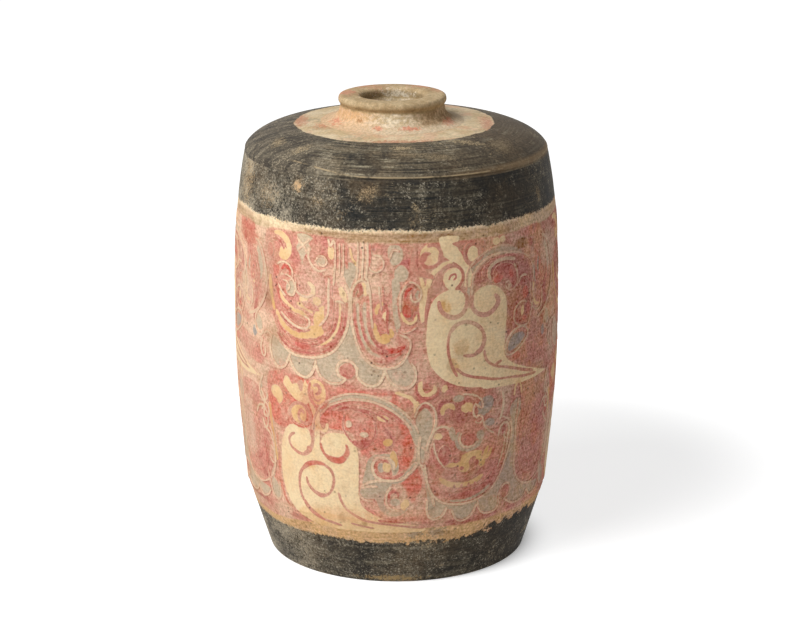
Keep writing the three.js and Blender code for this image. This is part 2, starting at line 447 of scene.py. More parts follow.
torn = times(scaled(cloudy(place, 130.0, 3.0, 0.6, 0.4), 0.024, -0.012), eased(axes[0], -0.06, 0.04))
low_edge = eased(plus(risen, torn), BAND_LOW + 0.0006, BAND_LOW - 0.0006)
lip = times(eased(level, BAND_HIGH_TOP - 0.0016, BAND_HIGH_TOP),
            patches(place, 90.0, 5.0, 0.7, 0.42, 0.54))
colour = blend(times(lip, 0.6), colour, earth(246, 232, 204))
hand_over(gives,
          {"Color": colour, "Black": black, "Covered": maths("MAXIMUM", top_edge, low_edge),
           "Height": grain["Height"]})

# Marks of age: soil, dark specks and scuffs that lie over ground and ornament alike, with painted light
# towards the left and painted shade towards the right
tree, given, gives = shader_group("age_marks", {"Color": "Color", "Film": "Float", "Grit": "Float"},
                                  {"Color": "Color"})
place = object_place(tree)
grain = use_group(tree, "clay_grain")
across = parted(place)[0]
# The pale film is a little heavier towards the lit left: film and some painted light.
film = scaled(across, -0.2, cloudy(place, 90.0, 6.0, 0.7, 0.3))
# Painted light: a pale veil over the far left, the lit side.
painted_light_left = times(eased(across, -0.080, -0.110), 0.24)
# Painted shade: a darker, browner tint towards the right.
painted_shade_right = times(eased(across, 0.0, 0.104), scaled(given["Film"], 1.0, 0.05))
colour = blend(times(eased(film, 0.46, 0.64), given["Film"]), given["Color"], earth(222, 188, 156))
colour = blend(painted_light_left, colour, earth(232, 198, 166))
colour = blend(painted_shade_right, colour,
               blend(patches(place, 34.0, 5.0, 0.7, 0.42, 0.54), earth(210, 164, 116),
                     earth(180, 136, 124)))
soil = patches(place, 44.0, 7.0, 0.72, 0.53, 0.66, 0.4)
colour = blend(times(soil, scaled(given["Film"], 1.0, 0.05)), colour, earth(186, 140, 98))
brown, red_earth, ochre = earth(162, 116, 76), earth(196, 100, 80), earth(216, 152, 106)
chalk_and_edge_light, slip, drab = earth(226, 196, 168), earth(238, 216, 174), earth(176, 150, 128)
# The chalk blots that climb the right edge, at x 103 to 108 mm, are painted light along that edge as
# well as chalk.
for centre, spread, strength, stain in (
        ((-84, -73, 196.6), (5, 5, 9), 0.5, brown), ((82, -73, 234.8), (7, 6, 4.5), 0.8, brown),
        ((-36, -98, 51), (3.5, 4, 5), 0.4, brown), ((-21, -101, 47.5), (4, 4, 4), 0.45, brown),
        ((41, -103, 170), (7, 5, 10), 0.35, brown), ((36, -105, 160), (4, 5, 7), 0.35, brown),
        ((-82, -76, 172), (12, 12, 9), 0.35, brown), ((-88, -69, 215), (12, 14, 32), 0.25, drab),
        ((-86, -71, 142), (12, 13, 12), 0.2, drab), ((-100, -48, 236), (12, 20, 10), 0.65, red_earth),
        ((-82, -76, 112), (16, 14, 22), 0.2, red_earth),
        ((-55, -98, 126), (17, 12, 20), 0.45, red_earth), ((17, -110, 230), (9, 8, 10), 0.3, red_earth),
        ((-14, -110, 62), (18, 8, 12), 0.22, red_earth), ((-40, -103, 53), (34, 16, 6), 0.35, ochre),
        ((6, -107, 54), (26, 12, 7), 0.3, ochre), ((-57, -97, 212), (16, 10, 22), 0.4, chalk_and_edge_light),
        ((-42, -104, 204), (14, 10, 18), 0.25, chalk_and_edge_light), ((-101, -47, 198), (11, 20, 14), 0.6, chalk_and_edge_light),
        ((-103, -43, 95), (10, 20, 24), 0.6, chalk_and_edge_light), ((2, -112, 158), (14, 10, 14), 0.25, chalk_and_edge_light),
        ((38, -105, 75), (13, 10, 13), 0.35, chalk_and_edge_light), ((103, -44, 224), (11, 22, 16), 0.55, chalk_and_edge_light),
        ((108, -30, 88), (10, 24, 26), 0.6, chalk_and_edge_light), ((107, -36, 160), (9, 22, 22), 0.35, chalk_and_edge_light),
        ((43, -103, 186), (16, 10, 16), 0.3, slip)):
    colour = blend(blot(place, centre, spread, strength, 2.0), colour, stain)
colour = blend(times(grain["Pits"], 0.45), colour, earth(120, 84, 64))
cell = add(tree, "TexVoronoi", {"Vector": place, "Scale": 190.0, "Randomness": 1.0})
rare = times(maths("GREATER_THAN", add(tree, "SeparateColor", {0: cell.outputs["Color"]}).outputs[0],
                   0.74), eased(cloudy(place, 26.0, 4.0), 0.42, 0.56))
speck = times(eased(cell.outputs["Distance"], 0.20, 0.08), rare)
colour = blend(times(speck, 0.8), colour, earth(70, 46, 36))
streaks = use_group(tree, "wheel_streaks", {"Fineness": 900.0})[0]
uneven = scaled(streaks, 0.45, grain["Sand"])
rough = scaled(eased(across, 0.02, 0.09), 0.4, given["Grit"])
rough = scaled(eased(across, -0.05, -0.10), -0.6, rough)
grit = times(minus(uneven, 0.725), rough)
colour = blend(1.0, colour, scaled(grit, 0.5, 1.02), "MULTIPLY")
colour = blend(1.0, colour, times(grit, 0.2), "ADD")
hand_over(gives, {"Color": colour})


def wall_colours(tree):
    ground = use_group(tree, "wall_ground")
    aged = use_group(tree, "age_marks", {"Color": ground["Color"], "Film": 0.4, "Grit": 1.7})
    covered = ground["Covered"]
    colour = blend(covered, aged[0], ground["Black"])
    return colour, scaled(covered, -0.2, 0.9), ground["Height"]


jar_wall.data.materials.append(fired_finish("painted_wall_clay", wall_colours))
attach(jar_wall, "root")
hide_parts("body_wall")

# Painted scrolls
# Rows of curling clouds brushed over the pink ground in mineral colours: grey, cream and ochre,
# two reds, and pale lines round the shapes. The same third of the ring is painted three times.
LEVEL_CIRCLE = 112 * MM
THIRD = LEVEL_CIRCLE * math.tau / 3
PAINT_DEPTH = 0.22 * MM
LOWEST_LIFT = 0.09
NEXT_LIFT = 0.06
# The brush and the mesh under it are measured in mm, like the places of the strokes
BRUSH_STEP = 1.5
OUTLINE_STEP = 2.0
DAB_STEPS = 20
FRAY = 0.25
SHORE_STEP = 0.4
FAR_INLAND = 4.0
JUST_INSIDE = 0.6
REPEAT_SWAY = 1.6
GRID_ACROSS = 3
GRID_UP = 2.9
GRID_LOW = 38
GRID_ROWS = 75
wash, grey, cream, rose, red, pale = [], [], [], [], [], []


def flowing(places, step=BRUSH_STEP, closed=False):
    """Even points along a smooth line through places given in mm round and up the wall."""
    ring = list(places)
    if closed:
        ring = [ring[-1], *ring, ring[0], ring[1]]
    else:
        ring = [ring[0], *ring, ring[-1]]
    line = []
    for a, b, c, d in zip(ring, ring[1:], ring[2:], ring[3:]):
        a, b, c, d = Vector(a), Vector(b), Vector(c), Vector(d)
        count = max(2, round((c - b).length / step))
        for i in range(count):
            t = i / count
            curve = (2 * b) + (c - a) * t + (2 * a - 5 * b + 4 * c - d) * t * t
            line.append(0.5 * (curve + (3 * b - 3 * c + d - a) * t * t * t))
    return line if closed else [*line, Vector(places[-1])]


def left_turning(face):
    area = sum(a.cross(b) for a, b in zip(face, [*face[1:], face[0]]))
    return face if area > 0 else face[::-1]


def stroke(paint, width, tone, *places):
    """One stroke of a loaded brush, narrow where it starts and lifts."""
    line = flowing(places)
    long = sum((b - a).length for a, b in zip(line, line[1:]))
    rows, run = [], 0.0
    for i, point in enumerate(line):
        ahead = line[min(i + 1, len(line) - 1)] - line[max(i - 1, 0)]
        across = Vector((-ahead.y, ahead.x)).normalized()
        if i:
            run += (point - line[i - 1]).length
        lift = min(1.0, 0.3 + 0.7 * math.sqrt(min(run, long - run) / (1.4 * width) + 1e-6))
        press = 1 + 0.28 * noise.noise(Vector((point.x * 0.12, point.y * 0.12, width)))
        half = across * (width / 2 * lift * press + FRAY)
        rows.append((point + half, point, point - half))
    for here, there in zip(rows, rows[1:]):
        for a, b, c, d in ((*here[:2], *there[1::-1]), (*here[1:], *there[:0:-1])):
            paint.append((left_turning([a, b, c]), tone))
            paint.append((left_turning([a, c, d]), tone))


def patch(paint, tone, *places):
    """A shape outlined by hand and filled in."""
    paint.append((left_turning(flowing(places, OUTLINE_STEP, closed=True)), tone))


def spot(paint, tone, s, z, wide, high, lean=0):
    """A dab of the brush: an oval of half sizes wide and high, leaning by degrees."""
    turn = math.radians(lean)
    rim = []
    for i in range(DAB_STEPS):
        a = math.tau * i / DAB_STEPS
        r = 1 + 0.12 * noise.noise(Vector((s + math.cos(a), z + math.sin(a), 0.5)))
        x, y = wide * r * math.cos(a), high * r * math.sin(a)
        rim.append(Vector((s + x * math.cos(turn) - y * math.sin(turn),
                           z + x * math.sin(turn) + y * math.cos(turn))))
    paint.append((rim, tone))


# Upper row: the great cream scroll with its two heads and long tail
patch(cream, 0.12, (20, 190), (19.3, 180), (20, 170), (22.5, 161), (28, 153.5), (34, 149), (42, 145),
      (50, 142.5), (60, 140.5), (80, 139), (100, 138), (113, 138.2), (127, 139.4), (118, 142.4),
      (106, 146.4), (95, 150.4), (86, 154.4), (80, 159), (77.7, 166), (78.4, 176), (79.5, 186),
      (80, 196), (78.2, 203), (73, 209), (66, 211.8), (58, 211), (52.5, 206), (49.5, 198), (47, 204),
      (45.5, 208.5), (41, 211.5), (35, 212), (29, 209.8), (24.5, 206), (21.3, 199))
stroke(rose, 2.6, 0.35, (28, 205), (29, 199.5), (32, 195.5), (37, 193), (42, 193.5), (46, 197),
       (48, 203), (47.5, 208))
stroke(rose, 2.9, 0.35, (52, 207), (51, 200.5), (54, 195), (60, 192), (66, 193), (71, 197), (72, 201),
       (69, 205))
stroke(rose, 1.5, 0.0, (41, 152), (37.5, 159), (35, 167), (34.3, 176), (36, 184))
stroke(rose, 2.2, 0.35, (35, 182), (40, 187.5), (47, 189), (54, 186.5), (59.5, 181), (60.5, 174.5),
       (58, 169), (53, 165.5), (45, 166))
stroke(rose, 3.0, 0.35, (59.8, 181), (60.8, 174.5), (58.3, 168.7), (53, 165.8))
stroke(rose, 1.8, 0.2, (61, 168), (62, 162), (66, 157.5), (72, 154.5), (78, 153), (86, 150.5),
       (97, 146.8), (108, 143.6))
stroke(rose, 1.5, 0.1, (40, 158), (45, 153.5), (52, 150.5), (60, 148.5), (70, 146), (84, 144.5),
       (98, 142.4), (112, 141.4))
stroke(rose, 1.4, 0.1, (40, 145), (50, 142.5), (60, 141))
spot(rose, 0.0, 72.5, 157, 3.4, 1.4, 20)
stroke(cream, 1.3, 0.9, (31, 203), (32, 199), (35, 197.5), (34.5, 203))
spot(cream, 0.9, 30.5, 201, 1.8, 3.6, -15)
spot(cream, 0.55, 44, 172, 6, 5, 30)
spot(cream, 0.8, 39, 160, 2.6, 5.5, 25)

# The stem and the small spirals above it
patch(cream, 0.1, (29, 247), (29.8, 240), (31.5, 235), (34, 231.5), (39, 229.5), (43.5, 226),
      (46.3, 219.5), (45.5, 213), (50, 212), (52.5, 216), (51.5, 223), (48.5, 229), (44, 236),
      (41, 241), (43, 247))
stroke(cream, 3.0, 0.2, (38, 230), (31, 228.3), (25.4, 224.7), (21.8, 218.6), (19.8, 211),
       (18.4, 202.5), (17.2, 191))
stroke(cream, 2.6, 0.3, (15.2, 223), (17.2, 216.8), (16.9, 208.5), (16.2, 200), (17, 190.5))
patch(rose, 0.25, (31, 227), (27, 223), (24, 216.5), (21.6, 210.5), (23.5, 208.5), (28.3, 212.5),
      (30.3, 216.5), (30.6, 221.5))
spot(cream, 0.15, 38.3, 218.7, 7.6, 8.2)
stroke(rose, 1.8, 0.2, (28.5, 223), (31.5, 226.5), (36, 228.2), (41, 227), (44.5, 223.5), (45, 218.8),
       (43, 214.5), (39.5, 211.5))
stroke(rose, 0.9, 0.0, (35, 218.5), (36.5, 221.3), (39.5, 222), (40, 219.5), (38, 218))
spot(cream, 0.35, 23, 234.5, 8.2, 8.6)
stroke(rose, 2.2, 0.2, (22, 235.8), (19.5, 237), (16.8, 234.5), (17.2, 230.5), (20, 227.8), (25, 228),
       (29, 231), (30.2, 236), (28, 240.5), (24.5, 242.5), (20.5, 241.2))
patch(rose, 0.1, (16.5, 235.5), (19.5, 238.3), (23.5, 236.8), (21, 235), (19.5, 231.5), (17, 232))
patch(rose, 0.15, (29, 239), (31.5, 234.5), (35.8, 231.3), (31.8, 231), (28, 228.3), (27.5, 231))
stroke(rose, 3.6, 0.6, (12.2, 241), (11.4, 234), (11.2, 228), (13.5, 224.3), (19, 223), (25, 220.5))
spot(cream, 0.2, 53.5, 234.3, 5.4, 5.8)
stroke(rose, 2.0, 0.2, (57.2, 232), (57.5, 237), (54.5, 240.3), (50, 240.6), (47, 238), (46.2, 233.5),
       (48.3, 229.5), (51.5, 226.5))
stroke(rose, 1.3, 0.2, (52, 226.5), (56, 228.7), (59.5, 231.5), (61.3, 236), (61.5, 241.5))
patch(rose, 0.15, (37.5, 242.3), (43, 239.5), (46.5, 242.3), (43, 243.3))
stroke(rose, 1.4, 0.2, (21.6, 214), (21, 207), (19.6, 199), (19.4, 190))

# The crest: a grey band curling over red, with a leaf and small curls inside
patch(grey, 0.35, (48.4, 213.5), (48.9, 221), (53.2, 227.3), (61, 232.9), (70, 235.7), (78, 236),
      (88.4, 233.8), (97.4, 228.4), (104.8, 222.4), (110, 214.5), (112, 206), (109, 205), (107.2, 211),
      (105.9, 218), (102.2, 224), (95, 228), (86, 230.5), (75.8, 231.6), (67.3, 231), (60, 227.6),
      (54.8, 223), (51.8, 216.8), (51.3, 210))
stroke(grey, 2.4, 0.35, (49.6, 214), (48.8, 206), (50, 199))
stroke(pale, 0.8, 0.2, (47.8, 212), (48.2, 221.3), (52.6, 228), (60.8, 233.5), (70, 236.3), (78, 236.5),
       (87, 234.8))
patch(wash, 0.0, (52, 210), (52.5, 217), (55.5, 222.8), (60.5, 227), (67.5, 230.4), (76, 231),
      (86, 229.8), (95, 227.4), (101.7, 223.3), (105.2, 217.5), (106.4, 211), (104.8, 203), (105, 192),
      (100, 183), (92, 178), (80, 172), (79, 184), (81, 196), (79, 205), (72, 212), (63, 214))
stroke(pale, 0.9, 0.3, (51.3, 206), (51.8, 216.8), (54.8, 223.2), (60, 227.7), (67.3, 231.1),
       (75.8, 231.7), (86.1, 230.6), (95, 228.2), (102.2, 224.1), (105.9, 218), (107.1, 210.9),
       (105.5, 203.5), (107, 196), (104, 186), (100.5, 178))
stroke(pale, 2.0, 0.1, (66.2, 214.5), (64.4, 218.9), (66.2, 223.6), (71.8, 226.6), (80.6, 227),
       (88, 225.5))
stroke(red, 2.0, 0.15, (60, 216), (61, 222.5), (66, 227.2), (74, 229.3), (84, 229), (93, 226.4))
patch(red, 0.0, (68.5, 216), (68.3, 220), (71, 223.4), (77, 225), (84, 223.5), (88, 219), (88.5, 212),
      (86, 207.5), (83.5, 210), (81, 213), (76, 213.5))
stroke(pale, 1.0, 0.35, (86.8, 222.8), (89.3, 216.9), (89.7, 210.7), (87.5, 206.6), (83.2, 205.1),
       (79.6, 207.2), (78.5, 210.4), (81.2, 211.6), (83.4, 210.4))
spot(red, 1.0, 72, 214.9, 4.2, 3.2, 10)
spot(red, 0.9, 84, 216.5, 2.2, 3.4, 20)
spot(cream, 0.0, 76.5, 219.5, 2.4, 1.8, -20)
stroke(cream, 1.8, 0.4, (71.2, 217.3), (73.2, 219), (76.5, 216.8))
spot(pale, 0.4, 82, 208.6, 2.0, 2.2, 20)
stroke(pale, 1.1, 0.3, (90.3, 208), (93.2, 212.3), (96.3, 213), (99.6, 212.4))
stroke(red, 1.8, 0.0, (92.5, 205), (95, 210), (99, 211.3), (102.5, 207.5), (103.5, 201))
spot(red, 1.0, 97.8, 201, 3.4, 4.6)
spot(red, 0.7, 101, 190, 2.0, 4.4)
stroke(pale, 1.1, 0.2, (99.5, 193.5), (95.5, 195.3), (91, 194.3), (87.4, 191.3), (85.8, 186.3),
       (87.4, 182.1), (90.5, 179.6), (94.2, 178.3), (100.3, 178.5))
stroke(red, 2.0, 0.0, (90, 191), (88.3, 187), (90, 182.5), (95, 181))
spot(cream, 0.6, 94.7, 188.8, 2.0, 3.8, -10)
spot(red, 0.9, 96.6, 183.2, 2.6, 2.2)
patch(grey, 0.95, (80.3, 166), (83, 171.6), (88, 174.6), (95, 174.4), (97.6, 171.8), (95.2, 168),
      (90, 164.8), (84.3, 162.8), (81, 163.3))
stroke(pale, 1.2, 0.35, (79.5, 171), (84.5, 175.7), (90, 177.7), (97, 177.2), (100.7, 173), (98, 168),
       (91, 163.3), (84, 160.6), (79, 162), (78.7, 167.5), (80, 172))
spot(red, 0.8, 88, 158.5, 5.5, 3.2, 15)
patch(wash, 0.5, (80, 159), (92, 154.5), (110, 150), (130, 147), (131, 160), (112, 166), (100, 169),
      (90, 162))

# Beyond the crest: rings of red inside a second pale line
stroke(pale, 1.9, 0.1, (119, 236), (125, 233.5), (130, 228.8), (134, 217), (135.5, 206), (132, 195),
       (123, 185), (112, 180))
patch(wash, 0.45, (108, 232), (117, 231), (126, 224), (130.5, 214), (131, 203), (126, 192), (116, 186),
      (109.5, 190), (111.5, 204), (109, 220))
stroke(red, 1.8, 0.45, (114, 226), (110.8, 216), (112, 205), (118, 198.5), (124.5, 203), (126.5, 212.5),
       (123, 222), (117, 226))
stroke(red, 2.6, 0.55, (118.5, 220), (116, 213), (118.5, 206.5), (121.5, 212), (120, 219))
stroke(cream, 2.4, 0.6, (108, 206), (106.5, 198), (110, 190.5), (115, 190))
stroke(pale, 1.0, 0.3, (104, 207), (103, 197), (107, 188), (115, 186), (118.5, 193), (117, 202))
patch(wash, 0.6, (92, 245), (104, 246), (116, 246), (121, 240), (108, 237), (94, 239))
spot(cream, 0.3, 71.5, 240, 3.4, 2.8)
spot(cream, 0.3, 77, 240.8, 2.6, 2.6)
spot(red, 0.0, 104.9, 233.8, 2.6, 3.0)
spot(grey, 0.2, 126, 178, 4.5, 6.5, 20)
stroke(red, 4.4, 0.0, (121.5, 205), (123, 196), (122.5, 186), (120.5, 177))
patch(grey, 0.3, (124, 232), (129, 226), (131, 216), (128, 208), (125, 214), (122, 222))
spot(cream, 0.6, 119.5, 206, 1.6, 5.0, 8)
spot(grey, 1.0, 120.5, 169.5, 3.0, 4.0)
spot(grey, 0.6, 114, 217, 3.2, 6.0, 10)
stroke(pale, 1.0, 0.3, (128, 189), (122, 181), (122.5, 172), (128.5, 168.5), (133, 174))

# Leaf and small curl that fill the gap before the great scroll
stroke(pale, 1.3, 0.35, (3, 198), (2.3, 206), (4, 212.5), (8, 217.8), (12.5, 217.5), (16, 213),
       (15.8, 207.5), (12.5, 205), (9.8, 207), (9.6, 211))
patch(wash, 0.8, (3.7, 196), (3.4, 205), (5.3, 212.5), (9.5, 216.8), (12.6, 215), (10, 212.3),
      (8.7, 207.5), (11, 203.5), (15, 202), (13.5, 197.5), (8.5, 196))
stroke(grey, 2.6, 0.3, (15, 213), (13.5, 209.5), (14.5, 205.5))
stroke(red, 1.6, 0.3, (10.5, 207), (12.8, 204.8), (15.3, 206.8))
stroke(cream, 2.0, 0.5, (3.5, 200.5), (4.5, 194.5), (8, 190.8), (12, 192), (13.3, 197))
spot(red, 1.0, 7.0, 199, 3.2, 5.0, 10)
stroke(red, 2.2, 1.0, (5.5, 207), (7.2, 212.5), (10.5, 214.5))
patch(grey, 0.2, (1, 189), (4, 193), (2, 186), (6, 183), (13, 184), (15, 190), (12, 186.5), (6, 186))
stroke(pale, 0.9, 0.3, (1, 187), (5, 184), (10, 185.8), (13.5, 188.5))
patch(grey, 0.05, (-3, 208), (-2.5, 198), (-1, 188), (0.5, 184), (3, 189), (1.5, 198), (1, 207),
      (3, 214), (1, 222), (-3, 220))
spot(wash, 0.3, 8, 229, 7.5, 6)
spot(grey, 0.1, 3, 224, 5, 6, 10)

# Second hanging fold: bands of red, grey and ochre that turn up to the right
patch(wash, 0.55, (-27, 205), (-27, 195), (-26, 186), (-23.5, 176), (-19, 167), (-12, 162.5), (-4, 162),
      (2, 165), (6, 170), (8, 177), (4, 180), (-1, 176), (-6, 176), (-5, 190), (-6, 205), (-15, 212))
stroke(pale, 1.2, 0.4, (-29.7, 206), (-29.6, 196), (-28.8, 188), (-27, 180), (-25, 174), (-22, 168),
       (-17, 163), (-12, 160.3), (-6, 159.8), (0, 161), (4, 164), (7.2, 169), (9.2, 174.3),
       (8.6, 179.5), (6, 181.7), (2, 183))
stroke(pale, 1.3, 0.4, (-29.6, 204), (-29, 212), (-26, 217.5), (-22.5, 219.3), (-19.3, 216.5),
       (-18.7, 210))
stroke(red, 1.9, 0.4, (-27.4, 204), (-27.2, 194), (-26, 186), (-23.5, 177.5), (-19, 169.5),
       (-13.5, 165.2), (-8, 164.5), (-2, 166), (3, 170.5))
stroke(grey, 2.0, 0.1, (-25.3, 204), (-25, 193), (-23.2, 184), (-20.5, 176.5), (-16.5, 170.5),
       (-10, 167.8))
stroke(red, 1.7, 0.3, (-23.3, 203), (-23, 193), (-21.4, 184), (-18.5, 177), (-14.5, 172), (-9, 169.8),
       (-4, 169.5))
stroke(grey, 2.2, 0.0, (-20.7, 205), (-20.6, 195), (-19.3, 186), (-16.7, 179), (-13, 174.5))
stroke(red, 1.8, 0.3, (-18.3, 200), (-18, 190), (-16, 182), (-12.5, 176), (-8, 173), (-4, 172.5))
stroke(pale, 1.3, 0.3, (-19, 221), (-17.6, 213), (-16.7, 205), (-16.3, 195), (-15.3, 187))
stroke(red, 3.4, 0.95, (-9, 172.6), (-3, 172), (2, 173), (6.5, 176.5))
stroke(red, 2.0, 0.7, (-10, 168), (-5, 166.8), (0, 168.2), (4, 171))
spot(red, 0.0, -7.5, 171.5, 2.2, 1.6)
stroke(red, 1.8, 0.25, (-6.6, 205), (-5.5, 198), (-6, 190), (-5, 183))
stroke(cream, 3.2, 0.9, (-14.2, 191), (-13.4, 185), (-11, 180), (-7, 178.3), (-4, 180))
spot(cream, 0.95, -7, 181, 3.4, 3.0, 10)
spot(cream, 0.85, -3.5, 184, 2.4, 3.6, 10)
stroke(cream, 2.2, 0.25, (-9, 194), (-6.5, 198), (-7.3, 192.5))
stroke(cream, 2.8, 0.8, (-13, 196), (-12.3, 201), (-9, 203.8), (-4.5, 203))
stroke(red, 1.8, 0.4, (-12, 189), (-10.5, 185), (-7, 184.5))
stroke(red, 2.6, 0.25, (-28, 207), (-27, 213), (-24, 215.5), (-23, 211), (-26, 207.5))
spot(cream, 0.4, -20.8, 213.5, 2.0, 5.2, 12)
stroke(pale, 1.0, 0.3, (-11.5, 216), (-10.5, 207), (-9.5, 199))
stroke(red, 1.0, 0.25, (-8.8, 216), (-8.2, 208), (-7.5, 201))
stroke(pale, 1.0, 0.35, (-18, 228.5), (-16.5, 226), (-13, 224.8), (-9, 227.5), (-8.3, 232),
       (-11, 235.5), (-15, 236))
spot(red, 0.0, -23, 221.5, 1.2, 1.4)
patch(grey, 0.0, (-6, 237), (-4.5, 242.5), (2, 243), (5, 238), (3, 231), (-3, 229.5))
stroke(pale, 1.2, 0.4, (-4.5, 233), (-2, 239.5), (2.5, 238.5))
spot(wash, 0.4, -10, 240, 9, 5)
for upright in (-19.3, -22.3, -25.7):
    stroke(pale, 1.0, 0.25, (upright, 245), (upright + 0.4, 236), (upright, 227), (upright - 0.5, 219))
stroke(red, 1.5, 0.45, (-17.5, 244), (-17.2, 236), (-17.6, 228))

# First hanging fold: wider, with a pale inner curl and ochre crescents
patch(wash, 0.5, (-33, 208), (-33, 195), (-36, 183), (-42, 173.5), (-50, 167.5), (-60, 165.5),
      (-72, 165.5), (-82, 169.5), (-89, 177), (-93, 188), (-92, 202), (-86, 214), (-74, 226),
      (-60, 225), (-50, 221), (-44, 222))
stroke(pale, 1.4, 0.45, (-80, 165.5), (-72, 162.8), (-64, 162.6), (-57, 163.2), (-50, 165), (-44, 168),
       (-40, 171.5), (-37, 176), (-34, 182), (-31.7, 190), (-30.7, 200), (-31.2, 209), (-33.5, 216))
stroke(red, 1.9, 0.3, (-88, 176), (-81, 169.5), (-72, 166), (-62, 165.6), (-53, 167), (-45.5, 170.5),
       (-39.5, 177), (-35, 185), (-33, 194), (-32.6, 204))
stroke(red, 1.4, 0.45, (-84, 176), (-77, 170.8), (-68, 168.3), (-59, 168.5), (-51, 170.5), (-44, 174.5),
       (-39, 181), (-36.3, 190), (-35.5, 200))
stroke(cream, 1.9, 0.55, (-52, 172.5), (-45.5, 176.3), (-41, 182), (-38.4, 189), (-37.7, 197),
       (-37.5, 203))
stroke(pale, 1.0, 0.4, (-41, 203.5), (-37.5, 204), (-34.5, 202.8))
stroke(red, 1.6, 0.35, (-79, 177), (-71, 172.5), (-62, 171.5), (-53, 173.5), (-46, 178.5), (-41.5, 185),
       (-39.4, 193), (-39, 203))
stroke(red, 1.1, 0.5, (-66, 174.5), (-57, 175), (-49.5, 179), (-44.5, 185.5), (-42.6, 194),
       (-42.2, 206))
stroke(red, 2.6, 0.75, (-72, 171), (-65, 169.6), (-58, 170.3))
stroke(red, 2.0, 0.5, (-88, 187), (-85, 180.5), (-79, 176))
stroke(red, 1.6, 0.3, (-43.9, 215), (-43.8, 203), (-44.6, 195))
stroke(pale, 1.4, 0.35, (-45.3, 219), (-45.6, 209), (-45.5, 200), (-46.2, 194), (-49, 189),
       (-52.5, 185.5))
stroke(cream, 3.4, 0.75, (-88.5, 191), (-84.5, 184.5), (-79, 180), (-71, 177), (-63, 176.6),
       (-57.5, 178.5))
stroke(cream, 3.8, 0.7, (-57, 176.5), (-54, 180.5), (-52, 186), (-51, 193), (-49.5, 200))
spot(cream, 0.8, -64, 177.5, 3.8, 3.0)
spot(cream, 0.8, -56.5, 181, 5.4, 4.6, 20)
spot(cream, 0.75, -51.5, 181.5, 3.0, 3.2)
spot(cream, 0.75, -52.6, 191, 4.0, 8.0, -10)
stroke(pale, 1.2, 0.4, (-84, 190.5), (-78.5, 186.5), (-72, 183.3), (-65, 182), (-60.5, 184),
       (-59.8, 188.5), (-64, 191))
stroke(red, 1.3, 0.0, (-85, 188.5), (-78, 184), (-70.5, 181), (-63.5, 180.3), (-58.8, 182.5))
patch(red, 0.3, (-80, 190.5), (-75, 186.7), (-68, 184), (-62.5, 185), (-63.5, 188.3), (-70, 190.3),
      (-76, 192))
stroke(cream, 2.6, 0.65, (-78, 197), (-72, 193.5), (-66, 192.5), (-61, 189.5))
patch(red, 0.5, (-66, 200), (-61, 201.5), (-55, 199.5), (-52, 196), (-57, 195), (-63, 196.5))
spot(cream, 0.6, -64.5, 202.5, 3.8, 3.0, 15)
spot(cream, 0.75, -54, 202, 3.4, 3.2)
stroke(cream, 2.8, 0.7, (-70, 198.5), (-63, 197), (-57, 193.5))
stroke(cream, 3.2, 0.3, (-61.5, 214), (-57.5, 211.5), (-57, 207.5), (-59.8, 204.5))
stroke(pale, 1.3, 0.3, (-71, 214), (-70.3, 207.5), (-66, 204.5), (-60.5, 204.3), (-57, 206.5))
patch(red, 0.35, (-68.5, 209), (-66, 206.3), (-61.5, 205.8), (-63, 209), (-62, 213), (-67, 214.5))
stroke(red, 2.0, 0.3, (-52, 224), (-49.5, 214), (-49.8, 205))
stroke(red, 2.2, 0.55, (-88, 209), (-85.5, 200), (-81, 194.5), (-75, 194))
stroke(cream, 2.4, 0.45, (-84.5, 205), (-82, 199.5), (-76.5, 196.5))
patch(grey, 0.0, (-79, 210), (-76.5, 213.5), (-72.5, 213.8), (-70, 210), (-71.5, 204.5), (-75.5, 202),
      (-79.5, 205.5))
stroke(pale, 1.1, 0.5, (-84.5, 216), (-79, 216.5), (-74, 214.5), (-71, 209), (-73, 203.5),
       (-77.5, 203.5))
stroke(pale, 1.0, 0.5, (-82.5, 212.5), (-78.5, 212), (-76, 208.5), (-78, 205.5))
stroke(red, 2.8, 1.0, (-84, 219), (-80.5, 222), (-76.5, 220.5), (-75.6, 216))
stroke(pale, 1.1, 0.4, (-88, 222), (-83.5, 224.5), (-77.5, 224), (-73.8, 219.5), (-74.2, 214.5),
       (-77.5, 212.5))
stroke(pale, 1.4, 0.5, (-86.5, 209.5), (-83, 204.5), (-79.5, 202))
stroke(cream, 4.0, 0.5, (-92, 243), (-86, 243), (-80, 240), (-77.3, 235.5), (-78, 230.5), (-82, 228),
       (-86.5, 230))
spot(cream, 0.45, -82.5, 231.5, 3.4, 3.6)
stroke(red, 2.2, 0.1, (-94, 238), (-88.5, 239), (-84, 236.7), (-81.5, 233))
spot(red, 0.6, -95, 231, 3.6, 5.0, 10)
patch(grey, 0.0, (-71, 245), (-63, 246), (-57.5, 243.5), (-61, 240.2), (-58, 236), (-63.5, 231.5),
      (-65.7, 225), (-68.5, 231.5), (-71.5, 236), (-69.3, 240.5))
stroke(pale, 1.2, 0.5, (-70.5, 243), (-66, 239), (-60.5, 242.5))
stroke(pale, 1.0, 0.5, (-69, 234.5), (-65, 238), (-62, 233))
stroke(pale, 1.5, 0.4, (-60.5, 238), (-60.8, 231), (-57.5, 225.5), (-52.5, 222.8), (-47, 224.5))
spot(grey, 0.0, -51.4, 229.3, 4.4, 3.6, 10)
stroke(pale, 1.1, 0.5, (-56, 228), (-53, 232.6), (-48.6, 232.3), (-47, 228.6), (-50, 226.2), (-53, 228))
spot(cream, 0.4, -44, 236, 2.8, 5.0, 10)
stroke(pale, 1.6, 0.6, (-46.5, 245), (-44.5, 240), (-42.5, 245))
